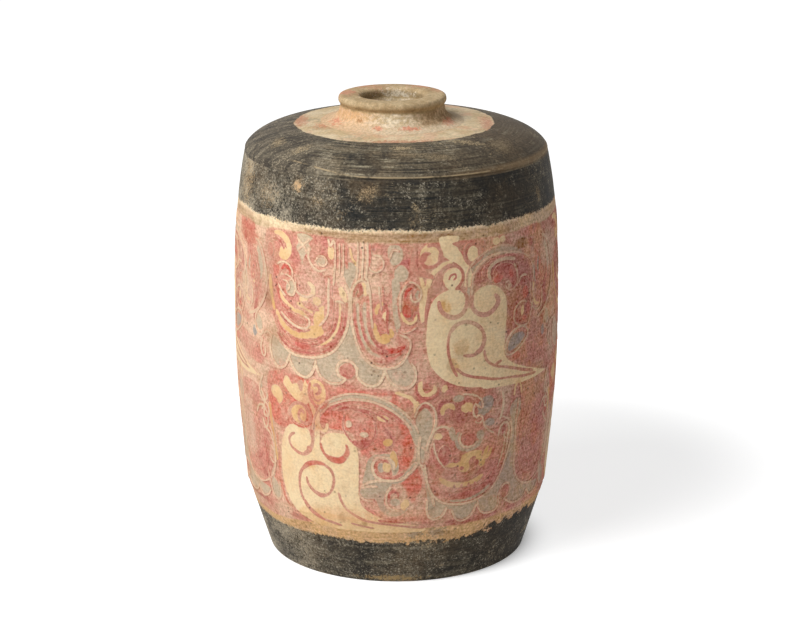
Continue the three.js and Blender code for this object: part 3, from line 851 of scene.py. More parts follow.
stroke(pale, 1.2, 0.3, (-41.5, 244), (-41, 234), (-41.3, 224), (-42, 214))
for upright in (-38.2, -35.5):
    stroke(pale, 0.9, 0.25, (upright, 243), (upright + 0.3, 233), (upright + 0.2, 222))
stroke(red, 1.4, 0.5, (-33, 242), (-33.2, 234), (-32.6, 226))
stroke(cream, 1.5, 0.5, (-31, 240), (-29, 233), (-25.5, 228))
stroke(cream, 4.2, 0.3, (-37.5, 214), (-35, 208), (-32.8, 203.5))
spot(wash, 0.8, -90, 224, 5, 12, 10)
stroke(cream, 3.0, 1.0, (-95, 214), (-93, 200), (-90, 190))
patch(wash, 0.4, (-102, 243), (-90, 247), (-70, 247.5), (-45, 247), (-32, 246), (-40, 238), (-56, 228),
      (-64, 222), (-78, 226), (-90, 222), (-100, 228))

# Grey cloud bank that hangs below both folds, its lower edge in scallops
patch(grey, 0.3, (-92.5, 173), (-94.7, 166), (-94, 160), (-91, 154), (-86, 151), (-81, 153),
      (-78, 157.5), (-76.5, 160), (-75, 156), (-71, 151), (-67, 149), (-63, 148.5), (-59, 151),
      (-56, 156.5), (-53.5, 153), (-49, 149), (-43, 147), (-37, 148), (-33.5, 151), (-28, 157),
      (-26, 154), (-23, 150), (-18, 147.5), (-13, 148), (-10, 151), (-7.5, 156.5), (-4, 151),
      (0, 147.5), (5, 146), (10, 148), (12.7, 153), (12.5, 159), (9, 163.8), (6, 167.5), (1, 162),
      (-6, 160.2), (-12, 160.8), (-17, 163.5), (-22, 168.5), (-25.5, 175), (-28, 184), (-29.8, 196),
      (-30.4, 205), (-29, 216), (-24, 226), (-31, 231), (-37, 226), (-33, 216), (-31, 205), (-32, 190),
      (-35, 181), (-38, 175.5), (-43, 169.5), (-50, 165.5), (-57, 163.6), (-66, 162.8), (-75, 163.5),
      (-82, 166.5), (-88, 171.5))
stroke(pale, 1.6, 0.6, (-92.5, 173), (-94.8, 166), (-94.2, 160), (-91, 154), (-86, 151), (-81, 153),
       (-78, 157.5), (-75.5, 163))
stroke(pale, 1.5, 0.6, (-77, 161.5), (-75, 156), (-71, 151), (-67, 149), (-63, 148.5), (-59, 151),
       (-56, 156.5), (-55, 162))
stroke(pale, 1.5, 0.6, (-55, 159), (-53, 153), (-49, 149), (-43, 147), (-37, 148), (-33, 151.5))
spot(red, 0.35, -32, 157, 6.0, 5.6)
stroke(pale, 1.5, 0.55, (-33, 151.3), (-38, 153), (-39.6, 158), (-37.5, 162.3), (-33, 164),
       (-28.5, 162.3), (-25.3, 157))
stroke(pale, 1.4, 0.7, (-25.3, 160), (-26, 154.5), (-23, 150), (-18, 147.5), (-13, 148), (-10, 151),
       (-8, 156), (-7.3, 162))
stroke(pale, 1.5, 0.7, (-7.3, 161), (-6.7, 156.5), (-4, 151), (0, 147.5), (5, 146), (10, 148),
       (12.7, 153), (12.5, 159), (9.5, 164))
stroke(pale, 1.3, 0.4, (-103, 168), (-105.5, 162), (-103.5, 156), (-100.5, 156.5), (-100.5, 163))
stroke(pale, 1.1, 0.5, (-102, 171), (-98, 173.5), (-93, 172))
spot(wash, 0.8, -84, 145, 12, 4.5, -5)
spot(wash, 0.4, -58, 144.5, 12, 3.6, 5)
spot(wash, 0.3, -12, 143, 14, 4)

# Lower row: the second cream scroll, its tail running out along the foot band
patch(cream, 0.12, (-80, 111), (-84, 106), (-87, 99), (-88.5, 90), (-89.5, 80), (-89, 70), (-86, 60),
      (-81, 52.5), (-74, 47), (-66, 43.8), (-57, 41.5), (-40, 40.8), (-20, 40.8), (0, 41), (20, 41.5),
      (20, 45), (5, 48.8), (-4, 50.5), (-12, 53.2), (-19.5, 57), (-24.5, 62), (-26, 70), (-25.8, 80),
      (-25.5, 90), (-25.7, 98), (-27.5, 105), (-31.5, 110.3), (-38, 112.6), (-46, 112), (-51, 109),
      (-53.5, 104), (-53.2, 113), (-57.5, 113), (-58, 104), (-60.5, 110), (-65, 112.8), (-70, 113.8),
      (-75, 113.3))
patch(cream, 0.5, (-76, 48.5), (-68, 44.2), (-57, 41.5), (-40, 40.8), (-20, 40.8), (0, 41), (20, 41.5),
      (20, 45), (5, 47.5), (-12, 49.5), (-28, 51), (-44, 52), (-58, 53), (-68, 54.5))
stroke(rose, 1.8, 0.55, (-74, 107), (-78, 104.5), (-79.7, 100.5), (-77.5, 96), (-72.5, 93.3),
       (-67, 92.8), (-62.5, 95.5), (-59.5, 101), (-58.7, 111))
patch(rose, 0.3, (-68, 93.6), (-63.5, 94), (-60, 98.5), (-58.2, 105), (-58, 112), (-61.8, 112),
      (-60.5, 104), (-63, 98.5))
spot(rose, 0.6, -62.5, 97.5, 2.2, 2.4)
stroke(rose, 2.0, 0.9, (-53.3, 104), (-52, 98.5), (-48.5, 94), (-43.5, 91.3), (-38.5, 92),
       (-34.5, 95.5), (-32.8, 99.5), (-34.5, 105))
patch(rose, 0.9, (-50, 96), (-44, 90.5), (-38, 90.3), (-33.5, 94.5), (-31.8, 99.8), (-34.3, 103.5),
      (-36, 98.5), (-39.5, 95.3), (-45, 95.2))
stroke(rose, 1.8, 0.3, (-66.3, 76.5), (-65.5, 72), (-62, 68), (-57.5, 65.2), (-53, 64.8), (-48.7, 67),
       (-45.5, 72), (-44.3, 79), (-46.5, 84.8), (-52, 88), (-59, 88), (-66, 85), (-71.3, 78.5),
       (-73, 70), (-71.5, 61.5), (-67, 55), (-61, 50.3), (-55, 47.3), (-48, 45.8), (-40, 44))
stroke(rose, 2.9, 0.3, (-50, 66), (-55, 64.8), (-60, 67))
stroke(rose, 2.6, 0.8, (-50, 88), (-57, 88.4), (-64, 86.3), (-69.5, 81.5))
stroke(rose, 2.8, 0.7, (-70, 59), (-66, 54), (-60, 49.8), (-53.5, 46.8))
patch(rose, 0.1, (-88, 43.5), (-84, 45.8), (-79, 46.8), (-74, 45.8), (-69, 43.2), (-65, 41.3),
      (-76, 41.8))
stroke(rose, 1.5, 0.25, (-41.3, 69), (-39, 62), (-35.3, 57), (-30, 53.6), (-24, 50.7), (-18, 49.2),
       (-8, 48), (4, 46.5), (20, 44.3))
stroke(rose, 1.2, 0.2, (-33, 47), (-24, 45.3), (-16, 44.2))
stroke(cream, 1.2, 0.7, (-70, 81), (-65, 84.3), (-58, 85.5))
stroke(wash, 2.2, 0.2, (-101, 50), (-95, 55), (-97, 61), (-92, 66))
spot(wash, 0.6, -98, 66, 6, 11)
stroke(cream, 2.4, 0.8, (-97.8, 124), (-96.8, 110), (-95.5, 96), (-93.5, 82))
spot(grey, 0.5, -40, 48, 3.4, 2.2, 30)
spot(grey, 0.5, -22.5, 45, 2.4, 2.6)

# Blobs, rings and small spirals above the second scroll
patch(cream, 0.45, (-83, 141), (-80, 147), (-77, 145.5), (-74.5, 142), (-70.5, 143.2), (-67, 139.5),
      (-63.5, 147), (-61.8, 139), (-60.5, 133), (-63, 129), (-67.5, 129.8), (-72.5, 131.3),
      (-76.5, 134.5), (-80.5, 138))
patch(rose, 0.35, (-70, 143.5), (-67.3, 137.5), (-65.3, 141), (-66.5, 146))
spot(cream, 0.6, -54.5, 139.5, 7.6, 9.2, 10)
stroke(rose, 2.3, 0.75, (-59.5, 146), (-60.6, 139), (-58.3, 132), (-53.5, 128.8), (-49, 131),
       (-46.6, 136), (-46.8, 142), (-49.5, 148))
stroke(rose, 2.4, 0.35, (-57.5, 143.3), (-54.3, 144.6), (-52.2, 142), (-53.2, 138.8), (-56, 137.6))
stroke(rose, 1.2, 0.7, (-58, 141), (-57.6, 136), (-54.5, 133.3), (-51.6, 135))
patch(wash, 0.95, (-56, 128.8), (-50.8, 128.2), (-46.5, 131), (-43.5, 135), (-46, 127), (-50, 122),
      (-53.5, 120), (-57, 123.5))
stroke(cream, 3.0, 0.35, (-63.5, 145), (-61.8, 136), (-58.2, 127.8), (-55.8, 120.5), (-55.3, 113))
patch(wash, 1.0, (-97, 126), (-96, 112), (-88, 108), (-80, 113.5), (-70, 114.5), (-62, 113), (-57, 116),
      (-55, 124), (-60, 130), (-75, 131), (-85, 128), (-92, 130))
spot(cream, 0.62, -69.5, 121.5, 7.0, 6.8)
stroke(rose, 1.6, 0.95, (-77.5, 119), (-75.5, 114.8), (-70.5, 112.8), (-65, 112.6))
stroke(rose, 1.9, 0.45, (-78, 118.5), (-77.3, 123.5), (-73.3, 128), (-68, 129.3), (-63, 127.3),
       (-60.2, 122.3), (-61, 117.3), (-64.8, 115.3), (-69, 117.3), (-69.7, 121.5), (-67.5, 124.8),
       (-65, 122.5))
spot(wash, 1.0, -82, 117, 6.5, 7.0)
spot(wash, 1.0, -61, 124, 3.0, 9.0, -20)
spot(wash, 0.9, -48.5, 122, 4.0, 7.0, -30)
patch(wash, 0.75, (-50.5, 110), (-47, 113.8), (-38, 114.6), (-30.5, 112), (-26, 104), (-24.6, 96),
      (-21, 98), (-22, 108), (-28, 116), (-38, 119), (-48, 118))
patch(wash, 0.75, (-98, 146), (-80, 150), (-60, 148), (-40, 146), (-20, 144), (-4, 142), (-20, 141),
      (-40, 139), (-58, 136), (-60, 124), (-62, 112), (-86, 108), (-96, 116), (-100, 130))
patch(cream, 0.6, (-95.5, 133), (-92, 137.5), (-87, 137.5), (-83.6, 133), (-84, 127.5), (-87.5, 124.5),
      (-90, 128), (-92.5, 129))

# The second crest over its ring of red, with two curls and a leaf below
stroke(grey, 4.0, 0.3, (-58, 108), (-57, 113), (-55.2, 120), (-50.5, 128), (-43.5, 134), (-35.5, 138),
       (-27, 139.5), (-18, 138.7), (-10, 136.2), (-3, 132), (4, 126.5), (9.5, 120), (12.7, 112.5),
       (14.8, 105))
stroke(grey, 3.2, 0.3, (15, 106), (14.8, 97), (12.5, 91), (7.5, 85.5), (2, 80.3), (-6, 79.3), (-15, 78))
patch(wash, 0.55, (-54, 114), (-52, 123), (-45, 130.5), (-36, 135.5), (-26, 137), (-17, 136), (-8, 133),
      (0, 127.5), (7, 120), (11, 110), (13, 102), (10.5, 93), (3, 85), (-5, 82), (-12, 83), (-20, 95),
      (-25, 102), (-30, 112), (-38, 115.5), (-46, 115))
patch(wash, 0.75, (-54, 115), (-51, 124), (-44, 130), (-36, 133.5), (-31, 125), (-32, 115),
      (-38, 113.5), (-46, 114))
stroke(pale, 1.1, 0.3, (-59.3, 112), (-57.2, 120.5), (-52.3, 129.5), (-44.5, 136), (-35.5, 140),
       (-27, 141.5), (-17.5, 140.8), (-8, 138), (0.5, 133), (7, 127.5), (12, 121), (15, 114))
stroke(pale, 1.1, 0.2, (-52, 124), (-46.5, 130.3), (-40, 134), (-32, 136.6), (-24, 137.4), (-15, 136.2),
       (-7, 133), (0, 128.5), (6, 122.7), (10.4, 116.5))
stroke(cream, 2.4, 0.25, (-53.7, 126), (-54.3, 118), (-51.7, 113), (-48.7, 113), (-47.2, 118.5))
stroke(red, 2.2, 0.4, (-47, 128), (-38, 133), (-28, 135.3), (-18, 135), (-9, 132), (-1, 127.3),
       (5, 121.5))
stroke(red, 1.4, 0.1, (-40, 129), (-31, 131), (-21, 130.5), (-12, 127.5), (-5, 122.5))
stroke(red, 1.0, 0.3, (-43, 128), (-36, 131.4), (-28, 132.6), (-19, 132.2), (-10, 129.5), (-1, 123.5))
patch(wash, 0.95, (3, 120.5), (8, 120), (12, 112.5), (13.3, 103), (12, 95), (8.8, 89), (5.8, 86.8),
      (4.3, 95), (4.6, 105), (5.5, 113))
stroke(red, 1.3, 0.05, (-29, 130), (-18, 127.8), (-14, 120), (-14.5, 112), (-18.5, 107), (-24, 104.5))
stroke(red, 1.2, 0.15, (-35, 126), (-36, 117), (-31, 108), (-26, 104))
stroke(wash, 1.6, 0.0, (-8, 118), (-3, 110), (-6, 102), (-12, 100))
spot(red, 0.2, -22.5, 107, 3.4, 3.0)
spot(cream, 0.5, -8.8, 125, 4.2, 2.4, -15)
spot(pale, 0.0, -21.5, 113, 3.2, 2.2)
spot(cream, 0.95, -5.5, 108, 3.6, 3.0, 10)
spot(pale, 0.0, -32, 119.8, 2.2, 2.8)
spot(cream, 0.8, -1.5, 96, 2.6, 6.5, 10)
patch(red, 0.1, (-30, 108), (-25, 102.5), (-20, 104), (-15, 107.5), (-19, 110.5), (-25, 109))
patch(grey, 0.35, (-24, 76), (-21.5, 88), (-20, 94), (-16, 98.5), (-9, 100), (-3, 99.3), (1, 95),
      (1.8, 88), (-2, 82.5), (-3.3, 88), (-5, 94.5), (-10, 96.5), (-14.5, 94), (-16, 88), (-14.5, 82),
      (-10, 80.3), (-18, 79))
stroke(pale, 1.4, 0.35, (-1.5, 88), (-2, 93.3), (-5.2, 96.4), (-10, 97), (-14.2, 95.2), (-16.2, 91),
       (-15.7, 86), (-12.8, 82.3), (-8, 80.5), (-1, 80.3))
stroke(red, 2.6, 0.4, (-14.7, 88.5), (-13.5, 85), (-9.5, 82.8), (-4, 82.2), (1, 83.5), (5.5, 86.5))
stroke(red, 1.6, 0.3, (-11.5, 94.7), (-8, 95), (-4.8, 93))
spot(cream, 0.5, -6.5, 90.3, 3.0, 3.8)
spot(grey, 0.6, -10.5, 89.5, 2.4, 4.0)
patch(grey, 0.3, (-26, 70.5), (-23.5, 75.5), (-17, 78.7), (-9, 79.3), (-3, 79), (-4.2, 74.5),
      (-7.3, 70), (-8.3, 63.5), (-5.5, 59.5), (0, 58), (4.5, 59.5), (8.5, 59), (3, 54.5), (-4, 53.8),
      (-10, 56.5), (-13, 61.5), (-15, 66), (-20, 65.3), (-24, 66.8))
stroke(pale, 1.2, 0.35, (-24.5, 75.3), (-17.5, 78.9), (-9, 80), (-2.5, 80), (4, 81.5), (9, 85.5),
       (13.5, 90.5), (16, 96))
stroke(pale, 1.2, 0.35, (-26.3, 70), (-24, 66.6), (-20, 64.8), (-15.5, 65.8))
stroke(pale, 1.1, 0.2, (-25.5, 73.5), (-20, 75.3), (-13, 75.6))
stroke(pale, 1.2, 0.4, (-3.5, 76), (-6.3, 71.5), (-7.2, 66), (-6, 61.5), (-2.5, 59), (2.5, 58.3))
stroke(red, 2.4, 0.2, (-4.8, 66), (-5, 70.3), (-2, 72.3), (1.2, 70.8), (1.5, 67.5))
spot(grey, 0.3, -1, 64.5, 4.0, 3.2)
patch(cream, 0.55, (3, 63), (5.5, 66.7), (8.7, 66), (9.2, 62), (7, 60.3), (5.5, 58), (3, 60))
patch(wash, 0.85, (2, 79.5), (5.5, 73), (9, 64), (13.5, 61.5), (15, 68), (18.5, 74), (18, 82),
      (14.5, 91), (10.5, 86.5), (6, 82.5))
stroke(wash, 7.0, 0.4, (-22, 60), (-12, 52.5), (2, 50.5), (16, 50.5), (24, 47.5))
stroke(wash, 3.4, 0.7, (-92, 104), (-91.5, 90), (-92, 74), (-89, 58), (-83, 50))
stroke(pale, 1.2, 0.5, (-107, 131), (-103.5, 125.5), (-104.5, 119), (-108, 116))
stroke(pale, 1.3, 0.7, (-104.5, 123), (-100, 121), (-98.6, 116), (-101.5, 112), (-105, 113.5),
       (-104, 117.5))
stroke(red, 2.4, 1.0, (-102.5, 119), (-103, 112), (-100, 106.5), (-97, 103))
stroke(pale, 1.2, 0.6, (-107.5, 110), (-104.5, 104), (-99.5, 100.5), (-97.3, 95))
stroke(grey, 3.0, 0.3, (-106, 138), (-107.5, 130), (-106, 122))
stroke(pale, 1.2, 0.5, (-100, 92), (-96, 88), (-95.5, 81), (-99, 79.5), (-102, 83))
spot(red, 0.3, -113.7, 215, 2.2, 5.0)
stroke(red, 1.4, 0.5, (-109, 218), (-111, 225), (-115, 227), (-118.5, 222), (-119, 212), (-116, 204),
       (-112, 203), (-109.5, 209))
stroke(red, 2.2, 0.4, (-108, 96), (-106.5, 86), (-108, 77))
stroke(red, 1.8, 0.1, (-13, 50.8), (-4, 50), (6, 49.3))

# Tall leaf and hook between the second crest and its fold
patch(grey, 0.3, (16, 130), (12.7, 124), (12.6, 116), (14.5, 109), (16, 103), (16.3, 96), (18, 91),
      (19.5, 97), (20.2, 104), (22.7, 110), (24.4, 118), (24, 126), (21, 131.5), (18.5, 132))
stroke(pale, 1.3, 0.4, (12, 125), (14, 131), (17.6, 135.4), (22, 134.6), (25.8, 129.5), (26.6, 122),
       (25, 115), (22, 108), (20.3, 101))
stroke(red, 2.2, 0.4, (13, 128), (15.3, 132.5), (19, 134), (22.7, 131))
stroke(pale, 1.2, 0.45, (16.3, 112), (15.3, 104), (15.2, 96), (17, 90), (19.8, 85))
stroke(pale, 0.9, 0.4, (17, 104.5), (20.5, 101))
stroke(pale, 0.9, 0.4, (12.5, 93.5), (19.5, 90))
stroke(cream, 2.4, 0.45, (-1, 143.5), (5, 141.3), (10, 139), (13, 134), (12, 128.5))
patch(wash, 0.15, (1, 134), (6, 129), (11, 130), (10.5, 136), (5, 140.5), (-2, 140))
spot(cream, 0.6, 13.5, 133.5, 2.4, 4.0)
stroke(cream, 3.0, 0.5, (16.5, 151), (15.6, 145.5), (18, 141.5), (22, 141.3), (25.7, 144.5),
       (24.5, 147.5))
stroke(red, 1.5, 0.4, (13.5, 149), (13.3, 143), (16.5, 138.6), (22, 138.2), (27.5, 141.5), (28, 146))
spot(cream, 0.6, 32.3, 144.6, 2.2, 3.2, -20)
spot(wash, 0.6, 4, 136, 10, 7)

# Hanging fold of the lower row: ringed bands with ochre flames and a pale collar
patch(wash, 0.5, (21, 94), (22, 84), (26, 74), (31, 67), (38, 62.5), (48, 61), (58, 62), (66, 64.5),
      (72, 69), (77, 76), (81, 85), (84, 95), (85, 106), (80, 114), (70, 112), (62, 118), (55, 130),
      (46, 136), (36, 138), (28, 136), (26, 128), (27, 118), (24, 106))
patch(wash, 0.15, (28, 133), (34, 138), (46, 138), (57, 133), (58, 124), (50, 119), (40, 119),
      (29, 122))
stroke(pale, 1.3, 0.45, (19.5, 92), (20.5, 82), (23.5, 72.5), (28, 66), (33, 62.5), (40, 60.4),
       (50, 59.8), (58, 60.8), (66, 63.3), (72, 67.3), (77, 73.7), (81, 81.8), (84, 90), (86.2, 98),
       (87.3, 106), (85.4, 112.5), (81, 116.3), (77, 118.2))
stroke(grey, 2.0, 0.1, (38, 63), (50, 62.2), (62, 65), (70, 70))
stroke(red, 3.2, 0.25, (30, 71), (38, 67.3), (48, 66.7), (58, 68), (66, 71.5), (72, 77), (76.5, 84.5))
stroke(red, 1.2, 0.5, (36, 71.7), (47, 70.5), (57, 71.7), (65, 75.5), (71, 81.5))
stroke(cream, 3.4, 0.85, (29.5, 81), (35.5, 76.3), (43, 74.3), (51, 74.2), (58, 75.8), (63.5, 79))
for notch in (41, 46.5, 52, 57):
    spot(red, 0.35, notch, 73.2, 1.0, 1.7)
stroke(red, 2.2, 0.1, (31.5, 84.5), (37, 80), (44, 77.8), (51, 78), (58, 80.5), (63, 85))
stroke(red, 1.6, 0.35, (23.5, 104), (25.5, 96), (29.5, 88.5), (36, 83), (44, 81), (52, 82),
       (57.5, 85.5))
patch(cream, 0.85, (32, 90), (38, 87.3), (43.5, 88), (44, 84.5), (50, 82.6), (52.5, 86), (51.5, 90),
      (54.5, 93.5), (60, 92), (62, 96), (57.5, 98), (51, 97.5), (45.5, 95.5), (44.5, 91.5), (38, 91.3))
stroke(cream, 3.0, 0.9, (61.5, 83), (62.8, 88), (64.3, 94), (66.5, 99.5))
stroke(cream, 2.6, 0.95, (63.8, 90), (67.5, 92.5), (69.3, 97.5))
spot(cream, 0.85, 59, 90, 3.0, 4.6, 10)
spot(red, 0.2, 46, 86, 1.8, 1.6)
spot(red, 0.15, 41.5, 92.5, 2.8, 2.2)
spot(red, 0.05, 57.5, 88.5, 2.2, 2.8, 15)
spot(red, 0.1, 33, 96.5, 5.0, 7.5)
stroke(red, 2.0, 0.1, (69, 88), (71.5, 96), (74, 104))
stroke(red, 1.1, 0.45, (76.3, 80), (79, 89), (80, 99))
stroke(pale, 1.0, 0.45, (75.5, 81), (78.8, 90), (80.6, 100), (80, 107))
stroke(pale, 0.9, 0.35, (82, 90), (83.2, 98), (83.2, 106))
stroke(grey, 3.4, 0.35, (43.5, 113), (42, 106.5), (44.5, 101.3), (50, 99.3), (55.5, 100.3), (60, 104.5),
       (61.5, 110))
stroke(pale, 1.4, 0.55, (44.8, 112.5), (43.6, 107), (45.7, 102.7), (50, 101), (54.7, 101.8),
       (58.3, 105))
spot(red, 0.35, 51, 106.3, 5.6, 4.6)
spot(grey, 0.5, 59.5, 108.5, 3.2, 3.6)
stroke(pale, 1.2, 0.5, (24, 114), (29, 117.6), (34, 117.3), (36.5, 114.5))
stroke(red, 2.0, 0.2, (27, 115), (31.5, 116), (35, 114.3))
spot(cream, 0.4, 28.3, 111, 3.0, 2.6)
stroke(cream, 3.4, 0.7, (31, 125.5), (31.6, 130.5), (36, 132.3), (39.8, 129))
spot(cream, 0.75, 47.7, 129, 3.8, 3.2, -20)
stroke(cream, 2.6, 0.7, (45, 127), (48, 131.7), (51.7, 130), (51, 125.5))
spot(grey, 0.2, 38.3, 112, 2.6, 5.4, 10)
spot(grey, 0.5, 42, 136.5, 4.4, 2.8)
patch(grey, 0.6, (56, 130), (57, 125.5), (56, 122.5), (60, 120), (63.5, 122), (68, 125), (70, 131),
      (67, 135.5), (60.5, 135))
stroke(pale, 1.3, 0.45, (44.5, 139.4), (52, 138), (58.5, 134.3), (60.6, 129.3), (59.5, 127.7),
       (56.8, 129.3), (54.6, 131), (53.2, 127.5), (54, 123), (57, 120.5))
stroke(pale, 1.2, 0.45, (54.7, 119.5), (56.2, 117.3), (59.3, 117.3), (60.8, 120), (58.5, 122.3),
       (55.6, 121.5))
stroke(pale, 1.1, 0.45, (60.5, 122), (61.5, 116.5), (65, 111.3), (71, 107.5))
spot(grey, 0.6, 67, 116, 4.6, 3.4, -10)
stroke(pale, 1.8, 0.7, (76.5, 136), (78, 130), (77.3, 122), (75, 115.5))
stroke(pale, 1.2, 0.5, (74.5, 104), (76, 110), (79, 113), (83, 112), (84.5, 106), (82, 101.5),
       (79, 105))
spot(red, 0.1, 79.3, 108, 2.2, 4.2, -10)
stroke(cream, 1.6, 0.6, (88.3, 130), (88.8, 136.5), (91.3, 139.7), (94.2, 137.3), (95.6, 130.5))
stroke(cream, 1.4, 0.5, (86.5, 143.5), (92, 144.3), (96, 141))
patch(grey, 0.45, (84, 121), (88, 127), (94.5, 128), (96, 119), (93, 111), (92, 98), (91.5, 84),
      (92.5, 76), (95.5, 70), (92, 67), (86.5, 68.5), (80, 67.5), (77.5, 72.5), (81.5, 80.5), (85, 90),
      (87, 98.5), (88, 107), (86, 114))

# Lower cloud bank, the wedge on its left and the fold that begins behind it
patch(grey, 0.25, (16.5, 91), (18.7, 92), (20, 83), (23, 73.5), (27.5, 66.7), (33, 63), (40, 60.8),
      (47, 60), (42, 55), (37, 57), (34, 54.3), (30, 51), (25, 51), (22, 55), (21.5, 61), (20.7, 70),
      (19, 80))
stroke(pale, 1.4, 0.5, (21.8, 66), (21.3, 58), (23, 52.8), (27, 50.5), (31.5, 51.5), (34.6, 55),
       (36, 59))
stroke(pale, 1.3, 0.4, (17, 90), (19.5, 86.5), (21.8, 81))
stroke(pale, 1.5, 0.5, (22, 76), (25.5, 66), (27, 60))
stroke(pale, 0.9, 0.35, (25.3, 107), (26.2, 101), (29, 94), (34, 87))
patch(grey, 0.3, (39, 59.5), (43, 49.5), (48, 46.7), (53, 48.2), (57, 52), (60.3, 57), (61.5, 53),
      (65, 50), (70, 48.7), (76, 49.3), (79.3, 53), (79, 58.5), (81, 62), (85, 66.5), (89, 65),
      (89.5, 59.5), (87.5, 55), (93, 51.2), (100, 50.3), (108, 52), (111, 55.5), (114, 52.5),
      (119, 50.5), (126, 53), (130, 58), (118, 60), (109, 61), (102, 65), (96.5, 70), (90, 69),
      (83, 69.3), (77, 72.5), (72, 67.5), (66, 63.5), (58, 61), (48, 60.2))
stroke(pale, 1.2, 0.5, (39.5, 57), (43, 49.5), (48, 46.7), (53, 48.2), (57, 52), (59.8, 58))
stroke(pale, 1.2, 0.5, (60.2, 60), (61.2, 54.5), (64.5, 50.4), (70, 48.7), (76, 49.5), (79.2, 53.5),
       (78.5, 60))
spot(red, 0.2, 84.5, 61.8, 4.8, 5.0)
stroke(pale, 1.2, 0.5, (78.7, 57), (80, 63), (82.7, 66.8), (87.3, 67), (90, 63), (89.3, 58.5),
       (84.5, 55.8))
stroke(pale, 1.2, 0.5, (84, 56), (88, 53.7), (93, 51.2), (100, 50.3), (108, 52.3), (111.5, 56.5))
stroke(pale, 1.1, 0.5, (111, 56.5), (114, 52.5), (119, 50.5), (126, 53), (130, 58))
stroke(wash, 5.0, 0.1, (34, 47.5), (42, 46.3), (48, 44.6), (58, 46.3), (70, 46), (84, 49), (94, 48),
       (110, 48.6), (124, 47.5))
patch(wash, 0.4, (93, 127), (92, 112), (92, 98), (92.3, 84), (94, 75), (98, 68.5), (106, 63), (116, 62),
      (126, 65), (133, 72), (137, 84), (138, 98), (138, 112), (132, 126), (120, 134), (104, 134))
stroke(pale, 1.2, 0.35, (93, 128), (91.3, 112), (91.3, 98), (91.7, 84), (93.3, 75), (97, 68.3),
       (103, 63.5), (112, 60.5), (120, 61), (128, 64.5), (134.5, 71), (138, 80), (139, 92), (138, 102),
       (135, 107))
stroke(red, 1.6, 0.35, (99, 118), (96.5, 104), (96.3, 90), (98.5, 78.5), (105, 70.5), (114, 68),
       (122, 70.3), (128, 77), (130.5, 88))
stroke(red, 1.4, 0.2, (104, 116), (101, 102), (101.5, 88), (107, 78.5), (115, 76.5), (121.5, 82.5))
spot(red, 0.4, 115, 98, 5.5, 12)
stroke(pale, 1.1, 0.35, (120, 112), (124, 118), (130, 119), (134, 113.5), (133, 106), (128, 103.5))
stroke(pale, 1.4, 0.3, (130.5, 141), (127, 135), (126.5, 127.5), (130.5, 123), (135, 126), (134, 131.5))
stroke(red, 2.4, 0.6, (129, 124), (133, 122.7), (136, 126.5))
stroke(grey, 3.0, 0.1, (137.5, 118), (139.5, 104), (139.3, 88), (136, 75), (131, 66))
spot(grey, 0.3, 136, 60, 5.0, 8.0, 20)
stroke(pale, 1.2, 0.4, (128, 72), (130, 63), (133, 55), (138.5, 52.5), (141.5, 57), (140.5, 66))


def covers(ring, point):
    """Whether a point lies inside a closed ring, told by the sides that it crosses."""
    inside = False
    for a, b in zip(ring, [*ring[1:], ring[0]]):
        if (a.y > point.y) != (b.y > point.y):
            crossing = a.x + (b.x - a.x) * (point.y - a.y) / (b.y - a.y)
            if point.x < crossing:
                inside = not inside
    return inside


def shore_distance(points, faces):
    """Distance in mm of every point from the outer edge of the painted shapes."""
    owners = {}
    for face in faces:
        for edge in zip(face, [*face[1:], face[0]]):
            owners.setdefault(frozenset(edge), []).append(face)
    shore = []
    for edge in (tuple(edge) for edge, sides in owners.items() if len(sides) == 1):
        a, b = points[edge[0]].to_3d(), points[edge[1]].to_3d()
        count = max(1, round((b - a).length / SHORE_STEP))
        shore += [a.lerp(b, i / count) for i in range(count)]
    search = kdtree.KDTree(len(shore))
    for i, point in enumerate(shore):
        search.insert(point, i)
    search.balance()
    return [min(FAR_INLAND, search.find(point.to_3d())[2]) for point in points]


